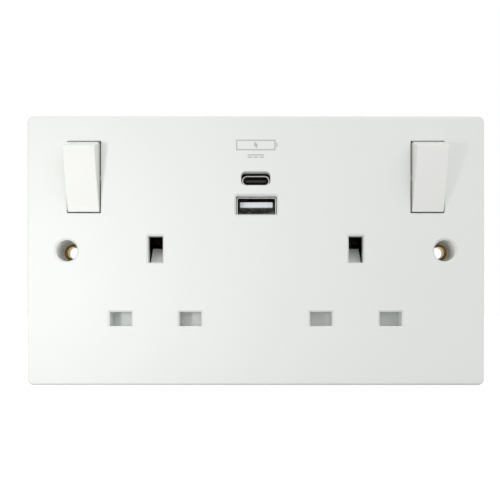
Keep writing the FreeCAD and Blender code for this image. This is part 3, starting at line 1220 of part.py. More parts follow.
def make_wide_outlet():
    """The wide outlet: folded steel shell, a tongue in its upper half and four contacts under the tongue."""
    inner_wide, inner_tall = "(usb_a_width - 2 * shell_wall)", "(usb_a_tall - 2 * shell_wall)"
    shell = new_body("usb_a_shell")
    sketch = sketch_on(shell, "XZ_Plane", "-board_level")
    rectangle(sketch, "usb_a_x", "usb_a_height", "usb_a_width", "usb_a_tall", "shell_corner")
    rectangle(sketch, "usb_a_x", "usb_a_height", inner_wide, inner_tall, "shell_corner - shell_wall")
    pad(shell, sketch, "board_level + plate_depth - usb_a_inset")

    tongue = new_body("usb_a_tongue")
    sketch = sketch_on(tongue, "XZ_Plane", "-board_level")
    wide, tall = f"{inner_wide} - 2 * seat_gap", f"{inner_tall} - 2 * seat_gap"
    rectangle(sketch, "usb_a_x", "usb_a_height", wide, tall)
    pad(tongue, sketch, "block_deep")
    sketch = sketch_on(tongue, "XZ_Plane", "-board_level")
    level = "(usb_a_height + tongue_rise)"
    rectangle(sketch, "usb_a_x", level, "usb_a_width - 2 * tongue_side", "tongue_tall", "2 * seat_gap")
    pad(tongue, sketch, "board_level + plate_depth - usb_a_inset - tongue_inset")

    contacts = new_body("usb_a_contacts")
    for share in (-1.5, -0.5, 0.5, 1.5):
        sketch = sketch_on(contacts, "XZ_Plane", "-board_level + block_deep")
        foot = f"({level} - tongue_tall / 2 - pad_thick / 2)"
        rectangle(sketch, f"usb_a_x + {share} * pad_pitch", foot, "pad_width", "pad_thick")
        pad(contacts, sketch, "board_level + plate_depth - usb_a_inset - block_deep - pad_inset")


def make_oval_outlet():
    shell = new_body("usb_c_shell")
    inner_wide, inner_tall = "(usb_c_width - 2 * shell_wall)", "(usb_c_tall - 2 * shell_wall)"
    sketch = sketch_on(shell, "XZ_Plane", "-board_level")
    rectangle(sketch, "0", "usb_c_height", "usb_c_width", "usb_c_tall", f"usb_c_tall / 2 - {HAIR}")
    rectangle(sketch, "0", "usb_c_height", inner_wide, inner_tall, f"{inner_tall} / 2 - {HAIR}")
    pad(shell, sketch, "board_level + plate_depth - usb_c_inset")

    tongue = new_body("usb_c_tongue")
    sketch = sketch_on(tongue, "XZ_Plane", "-board_level")
    wide, tall = f"({inner_wide} - 2 * seat_gap)", f"({inner_tall} - 2 * seat_gap)"
    rectangle(sketch, "0", "usb_c_height", wide, tall, f"{tall} / 2 - {HAIR}")
    pad(tongue, sketch, "oval_block")
    sketch = sketch_on(tongue, "XZ_Plane", "-board_level")
    wide = "usb_c_width - 2 * oval_tongue_side"
    rectangle(sketch, "0", "usb_c_height", wide, "oval_tongue_tall", f"oval_tongue_tall / 2 - {HAIR}")
    pad(tongue, sketch, "board_level + plate_depth - usb_c_inset - oval_tongue_inset")


def make_board_parts():
    """Transformer, two capacitors and a control chip on the back of the board."""
    level = f"-{BOARD_BACK}"
    high = "(module_base + module_height - parts_drop)"
    core = new_body("transformer")
    sketch = sketch_on(core, "XZ_Plane", level)
    rectangle(sketch, "-parts_beside", high, "bobbin_width", "bobbin_height")
    pad(core, sketch, "bobbin_flange", inward=True)
    sketch = sketch_on(core, "XZ_Plane", level)
    disc(sketch, "-parts_beside", high, "winding_dia")
    pad(core, sketch, "core_long", inward=True)
    for near in ("bobbin_flange", "(bobbin_flange + core_long - core_yoke)"):
        sketch = sketch_on(core, "XZ_Plane", f"{level} - {near}")
        rectangle(sketch, "-parts_beside", high, "core_width", "core_height")
        pad(core, sketch, "core_yoke", inward=True)
    sketch = sketch_on(core, "XZ_Plane", f"{level} - bobbin_flange")
    for side in (-1, 1):
        x = f"-parts_beside + {side} * (core_width - core_leg) / 2"
        rectangle(sketch, x, high, "core_leg", "core_height")
    pad(core, sketch, "core_long", inward=True)

    cans = new_body("capacitors")
    for z in (high, "(module_base + can_rise)"):
        sketch = sketch_on(cans, "XZ_Plane", level)
        disc(sketch, "can_beside", z, "can_dia")
        pad(cans, sketch, "can_long", inward=True)
    far = size(f"{BOARD_BACK} + can_long / 2")
    dress(cans, "Fillet", "can_round", lambda edge: edge.BoundBox.YMax > far and edge.BoundBox.YLength < 1e-4)

    chip = new_body("control_chip")
    height = "(module_base + chip_rise)"
    sketch = sketch_on(chip, "XZ_Plane", f"{level} - chip_lift")
    rectangle(sketch, "-parts_beside", height, "chip_width", "chip_height")
    pad(chip, sketch, "chip_thick", inward=True)
    sketch = sketch_on(chip, "XZ_Plane", level)
    for step in (-1.5, -0.5, 0.5, 1.5):
        rectangle(sketch, f"-parts_beside + {step} * leg_pitch", height, "leg_width", "leg_span")
    pad(chip, sketch, "leg_thick", inward=True)


def make_all():
    make_front_plate()
    make_rear_housing()
    make_earth_strap()
    make_neutral_bar()
    make_live_bar()
    for word, side in SIDES:
        make_eyelet(f"eyelet_{word}", side)
        make_shutter(f"shutter_{word}", side)
        make_retainer(f"shutter_retainer_{word}", side)
        make_rocker(f"rocker_{word}", side)
        make_plunger(f"plunger_{word}", side)
        make_moving_contact(f"moving_contact_{word}", side)
        make_live_link(f"live_link_{word}", side)
        make_fixed_tip(f"fixed_tip_{word}", side)
        middle = f"{side} * socket_spacing / 2"
        make_pin_contact(f"neutral_contact_{word}", f"{middle} - pin_spacing / 2")
        make_pin_contact(f"live_contact_{word}", f"{middle} + pin_spacing / 2")

        seat = f"({HOUSING_FOOT} + rib_wall)"
        length = f"({SLAB_FOOT} - {seat} - seat_gap)"
        spring = make_spring(f"shutter_spring_{word}", "shutter_spring_dia", "shutter_wire", length, 7)
        place(spring, middle, SPRING_OUT, f"{seat} + seat_gap / 2")

        tail = "(plunger_reach - plunger_length)"
        length = f"({tail} + rocker_rise - 2 * rocker_wall - plunger_travel - 2 * seat_gap)"
        spring = make_spring(f"plunger_spring_{word}", "plunger_dia", "plunger_wire", length, 6)
        turn(spring, (1, 0, 0), "90 + rocker_tilt")
        start = f"(seat_gap + plunger_travel - {tail})"
        place(
            spring,
            f"{side} * {SWITCH_X}",
            f"rocker_pivot + {start} * cos(rocker_tilt)",
            f"switch_height - {start} * sin(rocker_tilt)",
        )
    for word, share in zip(("neutral", "earth_left", "earth_right", "live"), TERMINAL_PLACES):
        make_terminal(f"terminal_{word}", f"{share} * terminal_pitch")
    make_screws()
    make_charger_case()
    make_circuit_board()
    make_feed_pins()
    make_wide_outlet()
    make_oval_outlet()
    make_board_parts()


def changes_nothing(feature):
    """True for a pad or pocket that leaves the solid before it as large as it was."""
    before = feature.BaseFeature
    return before is not None and abs(feature.Shape.Volume - before.Shape.Volume) < 1e-3


def check_and_export():
    for piece in pieces:
        if piece.TypeId == "PartDesign::Body":
            piece.Tip.Refine = True
    doc.recompute()
    faults = [f"{item.Label}: {item.State}" for item in doc.Objects if {"Invalid", "Error"} & set(item.State)]
    for piece in pieces:
        if piece.Shape.isNull() or not piece.Shape.isValid() or piece.Shape.Volume <= 0:
            faults.append(f"{piece.Label}: bad shape")
    for item in doc.Objects:
        if item.TypeId in ("PartDesign::Pad", "PartDesign::Pocket") and changes_nothing(item):
            faults.append(f"{item.Label}: changes nothing")
    if faults:
        raise RuntimeError("; ".join(faults))
    os.makedirs("parts", exist_ok=True)
    for piece in pieces:
        piece.Shape.exportStep(f"parts/{piece.Label}.step")
    print(len(pieces), "pieces")


make_all()
check_and_export()
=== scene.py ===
import math

import bmesh
import bpy
from mathutils import Matrix, Vector


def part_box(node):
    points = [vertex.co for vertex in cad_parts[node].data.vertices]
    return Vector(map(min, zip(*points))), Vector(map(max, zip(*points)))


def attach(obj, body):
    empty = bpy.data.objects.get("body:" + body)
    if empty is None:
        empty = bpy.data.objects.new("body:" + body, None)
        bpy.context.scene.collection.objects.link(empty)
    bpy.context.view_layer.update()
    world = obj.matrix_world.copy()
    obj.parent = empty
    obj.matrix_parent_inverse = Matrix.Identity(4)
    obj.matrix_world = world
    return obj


bl_info = {
    "name": "Wall socket looks",
    "version": (1, 0, 0),
    "blender": (4, 5, 0),
    "location": "3D View > Sidebar > Socket",
    "description": "Finishes, printed marks, small metalwork and studio for a socket with charging outlets",
    "category": "Object",
}

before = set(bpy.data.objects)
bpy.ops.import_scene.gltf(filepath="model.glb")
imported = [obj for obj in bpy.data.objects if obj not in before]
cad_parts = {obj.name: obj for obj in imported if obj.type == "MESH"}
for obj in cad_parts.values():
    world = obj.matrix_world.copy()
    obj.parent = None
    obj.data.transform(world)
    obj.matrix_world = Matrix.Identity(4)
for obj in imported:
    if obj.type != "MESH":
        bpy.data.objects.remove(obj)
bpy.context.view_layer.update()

MM = 0.001
SIDES = ("left", "right")
BLACK = (0, 0, 0)
WHITE = (1, 1, 1)
PLATE_LOW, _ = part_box("front_plate")
FACE = PLATE_LOW.y

# The picture's width in pixels and the camera sensor's in millimetres
PICTURE = 500
SENSOR = 36.0


# Colours and sizes that a user would change


def colour(label, note, default):
    return bpy.props.FloatVectorProperty(
        name=label, description=note, subtype="COLOR", size=3, min=0, max=1, default=default
    )


def length(label, note, default):
    return bpy.props.FloatProperty(
        name=label, description=note, subtype="DISTANCE", unit="LENGTH", default=default
    )


def amount(label, note, default, lowest=0):
    return bpy.props.FloatProperty(name=label, description=note, default=default, min=lowest)


class SocketColours(bpy.types.PropertyGroup):
    plate: colour("Plate", "Glossy white of the front plate", (0.80, 0.815, 0.79))
    rocker: colour("Rockers", "White of the switch rockers", (0.83, 0.84, 0.81))
    shutter: colour("Shutters", "White of the shutters behind the slots", (0.74, 0.77, 0.75))
    housing: colour("Housing", "Pale grey of the rear housing", (0.58, 0.60, 0.59))
    charger: colour("Charger case", "Dark grey of the charger's case", (0.030, 0.032, 0.035))
    mark: colour("Printed mark", "Pale grey ink on the plate", (0.50, 0.52, 0.52))
    brass: colour("Brass", "Strips, terminals and eyelets", (0.74, 0.52, 0.20))
    copper: colour("Copper", "Moving contacts", (0.80, 0.36, 0.20))
    silver: colour("Silver", "Contact tips", (0.82, 0.81, 0.78))
    nickel: colour("Nickel", "Shells of the charging outlets", (0.66, 0.65, 0.63))
    zinc: colour("Zinc", "Plated screws and springs", (0.58, 0.61, 0.63))
    gold: colour("Gold", "Contacts of the charging outlets", (0.56, 0.40, 0.17))


class SocketSizes(bpy.types.PropertyGroup):
    ink: length("Ink", "Thickness of the printed mark", 0.00003)
    mark_width: length("Mark width", "Width of the battery mark", 0.0126)
    mark_height: length("Mark height", "Height of the battery mark", 0.0034)
    mark_line: length("Mark line", "Line width of the printed marks", 0.00042)
    mark_place: length("Mark place", "Height of the battery mark above the fixing holes", 0.0336)
    sign_place: length("Sign place", "Height of the direct current sign above the fixing holes", 0.0300)
    pad_width: length("Contact width", "Width of a contact strip on the oval outlet's tongue", 0.00026)
    pad_pitch: length("Contact pitch", "Distance between those contact strips", 0.0005)


class SocketStudio(bpy.types.PropertyGroup):
    distance: length("Camera distance", "From the plate's face to the camera", 0.180)
    foot: length("Camera height", "Height of the camera against the fixing holes", -0.020)
    focal: amount("Focal length", "In millimetres", 40.7, lowest=10)
    plate_place: bpy.props.FloatVectorProperty(
        name="Plate centre", description="Middle of the plate in the 500 pixel picture", size=2,
        default=(255.8, 250.5),
    )
    key: amount("Key light", "Watts of the small left lamp", 0.056)
    soft: amount("Soft light", "Watts of the broad upper lamp", 1.25)
    sky: amount("Sky", "Strength of the even light all round", 0.70)


# Shader nodes


class Wire:
    """An output of a node. Arithmetic on it adds Math nodes."""

    def __init__(self, nodes, socket):
        self.nodes = nodes
        self.socket = socket

    def math(self, operation, *others):
        inputs = dict(enumerate((self, *others)))
        return self.nodes.add("Math", {"operation": operation}, inputs)

    def __add__(self, other):
        return self.math("ADD", other)

    def __sub__(self, other):
        return self.math("SUBTRACT", other)

    def __mul__(self, other):
        return self.math("MULTIPLY", other)

    def __rsub__(self, other):
        return self.nodes.add("Math", {"operation": "SUBTRACT"}, {0: other, 1: self})

    __radd__ = __add__
    __rmul__ = __mul__

    def above(self, level):
        return self.math("GREATER_THAN", level)

    def below(self, level):
        return self.math("LESS_THAN", level)

    def most(self, other):
        return self.math("MAXIMUM", other)

    def size(self):
        return self.math("ABSOLUTE")


class Nodes:
    """A node tree that takes nodes by their type, settings and inputs."""

    def __init__(self, tree):
        self.tree = tree

    def add(self, kind, settings=None, inputs=None, out=0):
        """Adds a node: its settings first, then values or wires for its sockets."""
        node = self.tree.nodes.new("ShaderNode" + kind)
        for name, value in (settings or {}).items():
            if name == "stops":
                self.set_stops(node.color_ramp, value)
            else:
                setattr(node, name, value)
        for name, value in (inputs or {}).items():
            self.feed(node.inputs[name], value)
        return Wire(self, node.outputs[out])

    def set_stops(self, ramp, stops):
        while len(ramp.elements) < len(stops):
            ramp.elements.new(1)
        for element, (position, shade) in zip(ramp.elements, stops):
            element.position = position
            element.color = opaque(shade)

    def feed(self, socket, value):
        if isinstance(value, Wire):
            self.tree.links.new(value.socket, socket)
        else:
            socket.default_value = value

    def rays(self):
        """Whether a ray comes from the camera, off a mirror or through glass."""
        path = self.add("LightPath").socket.node
        names = ("Is Camera Ray", "Is Glossy Ray", "Is Transmission Ray")
        return [Wire(self, path.outputs[name]) for name in names]


class Finish(Nodes):
    """A material and the nodes that feed its shader."""

    def __init__(self, name, **fixed):
        self.material = bpy.data.materials.new(name)
        self.material.use_nodes = True
        super().__init__(self.material.node_tree)
        self.shader = self.tree.nodes["Principled BSDF"]
        for label, value in fixed.items():
            self.shader.inputs[label.replace("_", " ")].default_value = value

    def place(self, scale=(1, 1, 1), turn=(0, 0, 0)):
        """Object coordinates, scaled and turned."""
        inputs = {"Vector": self.add("TexCoord", out="Object"), "Scale": scale, "Rotation": turn}
        return self.add("Mapping", {"vector_type": "POINT"}, inputs)

    def depth(self):
        """How far back a point lies, in metres."""
        return self.add("SeparateXYZ", inputs={0: self.add("TexCoord", out="Object")}, out="Y")

    def noise(self, scale, detail=3, rough=0.5, vector=None):
        inputs = {"Scale": scale, "Detail": detail, "Roughness": rough, "Vector": vector or self.place()}
        return self.add("TexNoise", {"noise_dimensions": "3D"}, inputs)

    def mix(self, share, first, second):
        """Blends two colours."""
        inputs = {0: share, 6: opaque(first), 7: opaque(second)}
        return self.add("Mix", {"data_type": "RGBA"}, inputs, out=2)

    def base(self, value):
        self.feed(self.shader.inputs["Base Color"], value)

    def roughness(self, value):
        self.feed(self.shader.inputs["Roughness"], value)

    def metallic(self, value):
        self.feed(self.shader.inputs["Metallic"], value)

    def bump(self, height, relief):
        """A bump whose height of 1 stands for a relief in metres."""
        inputs = {"Height": height, "Distance": relief, "Strength": 1.0}
        self.feed(self.shader.inputs["Normal"], self.add("Bump", inputs=inputs))

    def wear(self, *names):
        """Gives the finish to CAD nodes."""
        for name in names:
            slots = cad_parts[name].data.materials
            slots.clear()
            slots.append(self.material)


def opaque(value):
    """Gives a colour its fourth part. A wire stays as it is."""
    return value if isinstance(value, Wire) else (*value, 1)


def tint(shade, factor):
    return tuple(min(1, part * factor) for part in shade)


# Finishes

# Scales that stretch the lines of drawn metal along an axis
STRIP_X = (0.08, 1, 1)
EYELET_Y = (1, 0.12, 1)
SCREW_Y = (1, 0.3, 1)
SHELL_Y = (1, 0.05, 1)
BLOCK_Z = (1, 1, 0.1)
UNSTRETCHED = (1, 1, 1)

# How far the roughness swings with each pattern
SKIN_SWING = 0.10
CLOUD_SWING = 0.06
LINES_SWING = 0.16
PATCHES_SWING = 0.08

# How much of its colour a shell keeps behind its rim, as painted shade inside the cavity
PAINTED_SHADE_SHARE = 0.12


def moulded(name, shade, rough, grain, relief, cloud, **fixed):
    """Moulded plastic: a slightly cloudy colour and a fine skin, whose relief is in metres."""
    finish = Finish(name, **fixed)
    cloudy = finish.noise(22, detail=4, rough=0.55)
    finish.base(finish.mix(cloudy, tint(shade, 1 - cloud), tint(shade, 1 + cloud)))
    skin = finish.noise(grain, rough=0.6)
    finish.roughness(skin * SKIN_SWING + (rough - SKIN_SWING / 2) + (cloudy - 0.5) * CLOUD_SWING)
    finish.bump(skin, relief)
    return finish


def drawn_metal(name, shade, rough, lines, patches, relief, stretch=UNSTRETCHED, dull=0.82, rim=None):
    """Rolled or drawn metal: fine lines, a patchy tarnish, and painted shade behind a rim if one is given."""
    finish = Finish(name, Metallic=1.0)
    drawn = finish.noise(lines, detail=5, rough=0.65, vector=finish.place(scale=stretch))
    patchy = finish.noise(patches, detail=4, rough=0.6)
    stain = finish.add("ValToRGB", {"stops": [(0.35, BLACK), (0.75, WHITE)]}, {0: patchy})
    surface = finish.mix(stain, shade, tint(shade, dull))
    if rim is not None:
        # Painted shade: metal behind the rim keeps only a small share of its colour
        surface = finish.mix(finish.depth().above(rim), surface, tint(shade, PAINTED_SHADE_SHARE))
    finish.base(surface)
    finish.roughness(drawn * LINES_SWING + (rough - LINES_SWING / 2) + patchy * PATCHES_SWING)
    finish.bump(drawn, relief)
    return finish


# Meshes


def add_piece(name, shape, body, finish):
    """Turns a bmesh into a piece that rides on a body."""
    piece = bpy.data.objects.new(name, to_mesh(name, shape))
    bpy.context.scene.collection.objects.link(piece)
    piece.data.materials.append(finish.material)
    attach(piece, body)


def to_mesh(name, shape):
    mesh = bpy.data.meshes.new(name)
    shape.to_mesh(mesh)
    shape.free()
    return mesh


def block(shape, low, high):
    """A box between two corners, added to a bmesh."""
    low, high = Vector(low), Vector(high)
    spread = Matrix.Diagonal((*(high - low), 1))
    bmesh.ops.create_cube(shape, size=1, matrix=Matrix.Translation((low + high) / 2) @ spread)


def printed_bar(shape, x, z, width, height, thick):
    """A thin bar on the plate's face, added to a bmesh."""
    middle = Matrix.Translation((x, FACE - thick / 2, z))
    bmesh.ops.create_cube(shape, size=1, matrix=middle @ Matrix.Diagonal((width, thick, height, 1)))


# Operators


class SocketOperator(bpy.types.Operator):
    """Shared by the socket's operators"""

    bl_options = {"REGISTER", "UNDO"}

    def execute(self, context):
        scene = context.scene
        self.make(scene.socket_colours, scene.socket_sizes)
        return {"FINISHED"}


class SOCKET_OT_mouldings(SocketOperator):
    """Finish the plate, rockers, shutters, retainers and plungers"""

    bl_idname = "socket.mouldings"
    bl_label = "White mouldings"

    def make(self, colours, sizes):
        plate = moulded(
            "plate_white", tuple(colours.plate), rough=0.24, grain=900, relief=4e-6, cloud=0.012,
            Coat_Weight=0.25, Coat_Roughness=0.12,
        )
        rocker = moulded(
            "rocker_white", tuple(colours.rocker), rough=0.20, grain=1100, relief=3e-6, cloud=0.01,
            Coat_Weight=0.3, Coat_Roughness=0.1,
        )
        shutter = moulded(
            "shutter_white", tuple(colours.shutter), rough=0.34, grain=1300, relief=5e-6, cloud=0.02
        )
        retainer = moulded(
            "retainer_white", tint(colours.shutter, 0.92), rough=0.45, grain=1500, relief=8e-6, cloud=0.03
        )
        nylon = moulded(
            "plunger_nylon", (0.62, 0.58, 0.48), rough=0.4, grain=1200, relief=5e-6, cloud=0.03,
            Subsurface_Weight=0.1,
        )
        plate.wear("front_plate")
        for side in SIDES:
            rocker.wear(f"rocker_{side}")
            shutter.wear(f"shutter_{side}")
            retainer.wear(f"shutter_retainer_{side}")
            nylon.wear(f"plunger_{side}")


class SOCKET_OT_housings(SocketOperator):
    """Finish the rear housing and the charger's case"""

    bl_idname = "socket.housings"
    bl_label = "Rear housing and charger case"

    def make(self, colours, sizes):
        housing = moulded(
            "housing_grey", tuple(colours.housing), rough=0.52, grain=2400, relief=2.2e-5, cloud=0.03
        )
        case = moulded(
            "charger_grey", tuple(colours.charger), rough=0.5, grain=2200, relief=2.4e-5, cloud=0.12
        )
        housing.wear("rear_housing")
        case.wear("charger_case")


class SOCKET_OT_metalwork(SocketOperator):
    """Finish the strips, contacts, terminals, screws, springs and shells"""

    bl_idname = "socket.metalwork"
    bl_label = "Brass, copper, silver and steel"

    # How far inside its front edge the wide outlet's shell turns dark with painted shade
    rim_depth = 0.5 * MM

    def make(self, colours, sizes):
        self.brass(tuple(colours.brass))
        self.contacts(colours)
        self.screws_and_springs(colours.zinc)
        self.shells(tuple(colours.nickel))

    def brass(self, shade):
        strip = drawn_metal("brass_strip", shade, 0.30, lines=900, patches=160, relief=4e-6, stretch=STRIP_X)
        # Brass darkened to a fifth: painted shade, so the strips seen deep in the earth slots look dark
        deep_shade_brass = drawn_metal(
            "shaded_brass", tint(shade, 0.2), 0.42, lines=900, patches=160, relief=4e-6, stretch=STRIP_X
        )
        # Turned brass darkened to half: painted shade of the counterbores the eyelets sit in
        turned = drawn_metal(
            "shaded_turned_brass", tint(shade, 0.5), 0.2, lines=1400, patches=220, relief=3e-6, stretch=EYELET_Y
        )
        milled = drawn_metal(
            "brass_block", tint(shade, 0.95), 0.36, lines=1100, patches=260, relief=6e-6, stretch=BLOCK_Z
        )
        strip.wear("feed_pins")
        deep_shade_brass.wear("earth_strap", "live_bar", "neutral_bar", "live_link_left", "live_link_right")
        turned.wear("eyelet_left", "eyelet_right")
        milled.wear("terminal_live", "terminal_neutral")
        for side in SIDES:
            milled.wear(f"terminal_earth_{side}")
            strip.wear(f"live_contact_{side}", f"neutral_contact_{side}")

    def contacts(self, colours):
        copper = drawn_metal(
            "copper_strip", tuple(colours.copper), 0.28, lines=900, patches=180, relief=4e-6, stretch=BLOCK_Z
        )
        silver = drawn_metal(
            "silver_tip", tuple(colours.silver), 0.22, lines=700, patches=300, relief=3e-6, dull=0.9
        )
        # Gold darkened to two fifths: painted shade for the contacts deep in the wide outlet
        gold = drawn_metal(
            "shaded_gold", tint(colours.gold, 0.4), 0.18, lines=900, patches=300, relief=1e-6, dull=0.95
        )
        gold.wear("usb_a_contacts")
        for side in SIDES:
            copper.wear(f"moving_contact_{side}")
            silver.wear(f"fixed_tip_{side}")

    def screws_and_springs(self, shade):
        zinc = drawn_metal(
            "zinc_plate", tuple(shade), 0.34, lines=1600, patches=420, relief=5e-6, stretch=SCREW_Y, dull=0.86
        )
        wire = drawn_metal(
            "spring_wire", tint(shade, 0.92), 0.24, lines=1500, patches=300, relief=2e-6, dull=0.9
        )
        zinc.wear("terminal_screws", "housing_screws")
        for side in SIDES:
            wire.wear(f"shutter_spring_{side}", f"plunger_spring_{side}")

    def shells(self, shade):
        drawn = {"lines": 1200, "patches": 240, "relief": 2.4e-6, "stretch": SHELL_Y, "dull": 0.92}
        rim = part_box("usb_a_shell")[0].y + self.rim_depth
        drawn_metal("nickel_shell", shade, 0.20, **drawn).wear("usb_c_shell")
        # The wide outlet's shell gets painted shade behind its rim
        drawn_metal("shell_painted_shade", shade, 0.24, rim=rim, **drawn).wear("usb_a_shell")


class SOCKET_OT_charger(SocketOperator):
    """Finish the circuit board and what is soldered to it, and the tongues of the charging outlets"""

    bl_idname = "socket.charger"
    bl_label = "Charger board and outlets"

    # The bare end of a capacitor, and the taped share on each side of the transformer's middle
    bare_end = 0.4 * MM
    taped_share = 0.3

    # The oval outlet's tongue, and its contact strips: how many, how high, how far in and how rounded
    tongue_half = 0.35 * MM
    strips = 12
    strip_lift = 0.03 * MM
    strip_start = 0.5 * MM
    strip_end = 4 * MM
    strip_edge = 0.01 * MM

    def make(self, colours, sizes):
        pale = moulded("grey_tongue", (0.86, 0.91, 0.96), rough=0.35, grain=1400, relief=6e-6, cloud=0.04)
        dark = moulded("black_tongue", (0.008, 0.008, 0.011), rough=0.3, grain=1400, relief=4e-6, cloud=0.2)
        chip = moulded("chip_black", (0.012, 0.012, 0.013), rough=0.45, grain=2600, relief=1e-5, cloud=0.2)
        pale.wear("usb_a_tongue")
        dark.wear("usb_c_tongue")
        chip.wear("control_chip")
        self.board()
        self.cans()
        self.winding()
        self.tongue_contacts(colours, sizes)

    def board(self):
        """Green mask over copper tracks."""
        finish = Finish("board_green")
        tracks = finish.add("TexBrick", {"offset": 0.5, "squash": 2.0}, {
            "Vector": finish.place(turn=(math.pi / 2, 0, 0)), "Scale": 160.0, "Mortar Size": 0.06,
            "Color1": opaque(BLACK), "Color2": opaque(BLACK), "Mortar": opaque(WHITE),
        })
        mask = finish.mix(tracks, (0.012, 0.10, 0.045), (0.03, 0.20, 0.08))
        finish.base(finish.mix(finish.noise(40), mask, (0.022, 0.154, 0.066)))
        finish.roughness(finish.noise(900, detail=2) * 0.1 + 0.28)
        finish.bump(tracks * 0.8 + finish.noise(1800, detail=2) * 0.2, 3e-5)
        finish.wear("circuit_board")

    def cans(self):
        """Dark sleeves with bare aluminium ends."""
        finish = Finish("capacitor_sleeve")
        bare = finish.depth().above(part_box("capacitors")[1].y - self.bare_end)
        finish.base(finish.mix(bare, (0.016, 0.022, 0.05), (0.75, 0.75, 0.76)))
        finish.metallic(bare)
        finish.roughness(finish.noise(700, detail=2) * 0.1 + 0.25)
        finish.bump(finish.noise(500, detail=2), 1e-5)
        finish.wear("capacitors")

    def winding(self):
        """Dark core ends round a winding in amber tape."""
        low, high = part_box("transformer")
        middle = (low.y + high.y) / 2
        finish = Finish("transformer_tape")
        taped = (finish.depth() - middle).size().below((high.y - low.y) * self.taped_share)
        turns = {"Vector": finish.place(), "Scale": 260, "Distortion": 0.6}
        wrap = finish.add("TexWave", {"bands_direction": "Y"}, turns)
        amber = finish.mix(wrap, (0.55, 0.36, 0.05), (0.72, 0.50, 0.10))
        finish.base(finish.mix(taped, (0.022, 0.022, 0.024), amber))
        finish.roughness(finish.noise(800, detail=2) * 0.15 + 0.3)
        finish.bump(wrap * taped, 5e-5)
        finish.wear("transformer")

    def tongue_contacts(self, colours, sizes):
        """Rows of gold strips above and below the oval outlet's tongue."""
        low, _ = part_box("usb_c_tongue")
        shell_low, shell_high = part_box("usb_c_shell")
        centre = (shell_low.z + shell_high.z) / 2
        start, end = low.y + self.strip_start, low.y + self.strip_end
        shape = bmesh.new()
        for step in range(self.strips):
            x = (step - (self.strips - 1) / 2) * sizes.pad_pitch
            near, far = x - sizes.pad_width / 2, x + sizes.pad_width / 2
            for side in (-1, 1):
                inner = centre + side * (self.tongue_half - self.strip_lift)
                outer = centre + side * (self.tongue_half + self.strip_lift)
                block(shape, (near, start, min(inner, outer)), (far, end, max(inner, outer)))
        bmesh.ops.bevel(
            shape, geom=shape.edges[:], offset=self.strip_edge, segments=1, profile=0.5, affect="EDGES",
            material=-1,
        )
        gold = drawn_metal(
            "tongue_gold", tuple(colours.gold), 0.2, lines=900, patches=300, relief=1e-6, dull=0.95
        )
        add_piece("oval_tongue_contacts", shape, "base", gold)


class SOCKET_OT_print(SocketOperator):
    """Print a battery mark and a direct current sign above the outlets"""

    bl_idname = "socket.print_marks"
    bl_label = "Printed marks"

    # Shares of the battery mark's height, and the knob's place in line widths past the frame
    knob_share = 0.42
    bolt_share = 0.62
    knob_reach = 0.9

    # The lightning bolt's corners, as shares of its height
    tip_lean = 0.18
    elbow_reach = 0.34
    inner_reach = 0.30
    elbow_rise = 0.04

    # The direct current sign's bar, its dashes as shares of the bar, and their drop in line widths
    sign_bar = 5.2 * MM
    dash_pitch = 0.37
    dash_width = 0.26
    dash_drop = 0.7

    def make(self, colours, sizes):
        shape = bmesh.new()
        self.battery(shape, sizes)
        self.bolt(shape, sizes)
        self.current_sign(shape, sizes)
        ink = moulded("mark_ink", tuple(colours.mark), rough=0.5, grain=2600, relief=3e-6, cloud=0.05)
        add_piece("printed_marks", shape, "base", ink)

    def battery(self, shape, sizes):
        """A frame of four bars, and a knob at its right end."""
        width, height, line, z = sizes.mark_width, sizes.mark_height, sizes.mark_line, sizes.mark_place
        for way in (-1, 1):
            printed_bar(shape, 0, z + way * (height - line) / 2, width, line, sizes.ink)
            printed_bar(shape, way * (width - line) / 2, z, line, height - 2 * line, sizes.ink)
        knob = width / 2 + line * self.knob_reach
        printed_bar(shape, knob, z, line, height * self.knob_share, sizes.ink)

    def bolt(self, shape, sizes):
        """A lightning bolt: two slim triangles that lean the same way."""
        z, tall = sizes.mark_place, sizes.mark_height * self.bolt_share
        for way in (-1, 1):
            tip = (-way * tall * self.tip_lean, FACE, z + way * tall / 2)
            elbow = (way * tall * self.elbow_reach, FACE, z + way * tall * self.elbow_rise)
            inner = (-way * tall * self.inner_reach, FACE, z - way * tall * self.elbow_rise)
            face = shape.faces.new([shape.verts.new(spot) for spot in (tip, elbow, inner)])
            grown = bmesh.ops.extrude_face_region(shape, geom=[face])
            moved = [item for item in grown["geom"] if isinstance(item, bmesh.types.BMVert)]
            bmesh.ops.translate(shape, verts=moved, vec=(0, -sizes.ink, 0))
        bmesh.ops.recalc_face_normals(shape, faces=shape.faces)

    def current_sign(self, shape, sizes):
        """A bar over three dashes."""
        bar, line, z = self.sign_bar, sizes.mark_line, sizes.sign_place
        printed_bar(shape, 0, z + line, bar, line, sizes.ink)
        for step in (-1, 0, 1):
            x = step * bar * self.dash_pitch
            printed_bar(shape, x, z - line * self.dash_drop, bar * self.dash_width, line, sizes.ink)


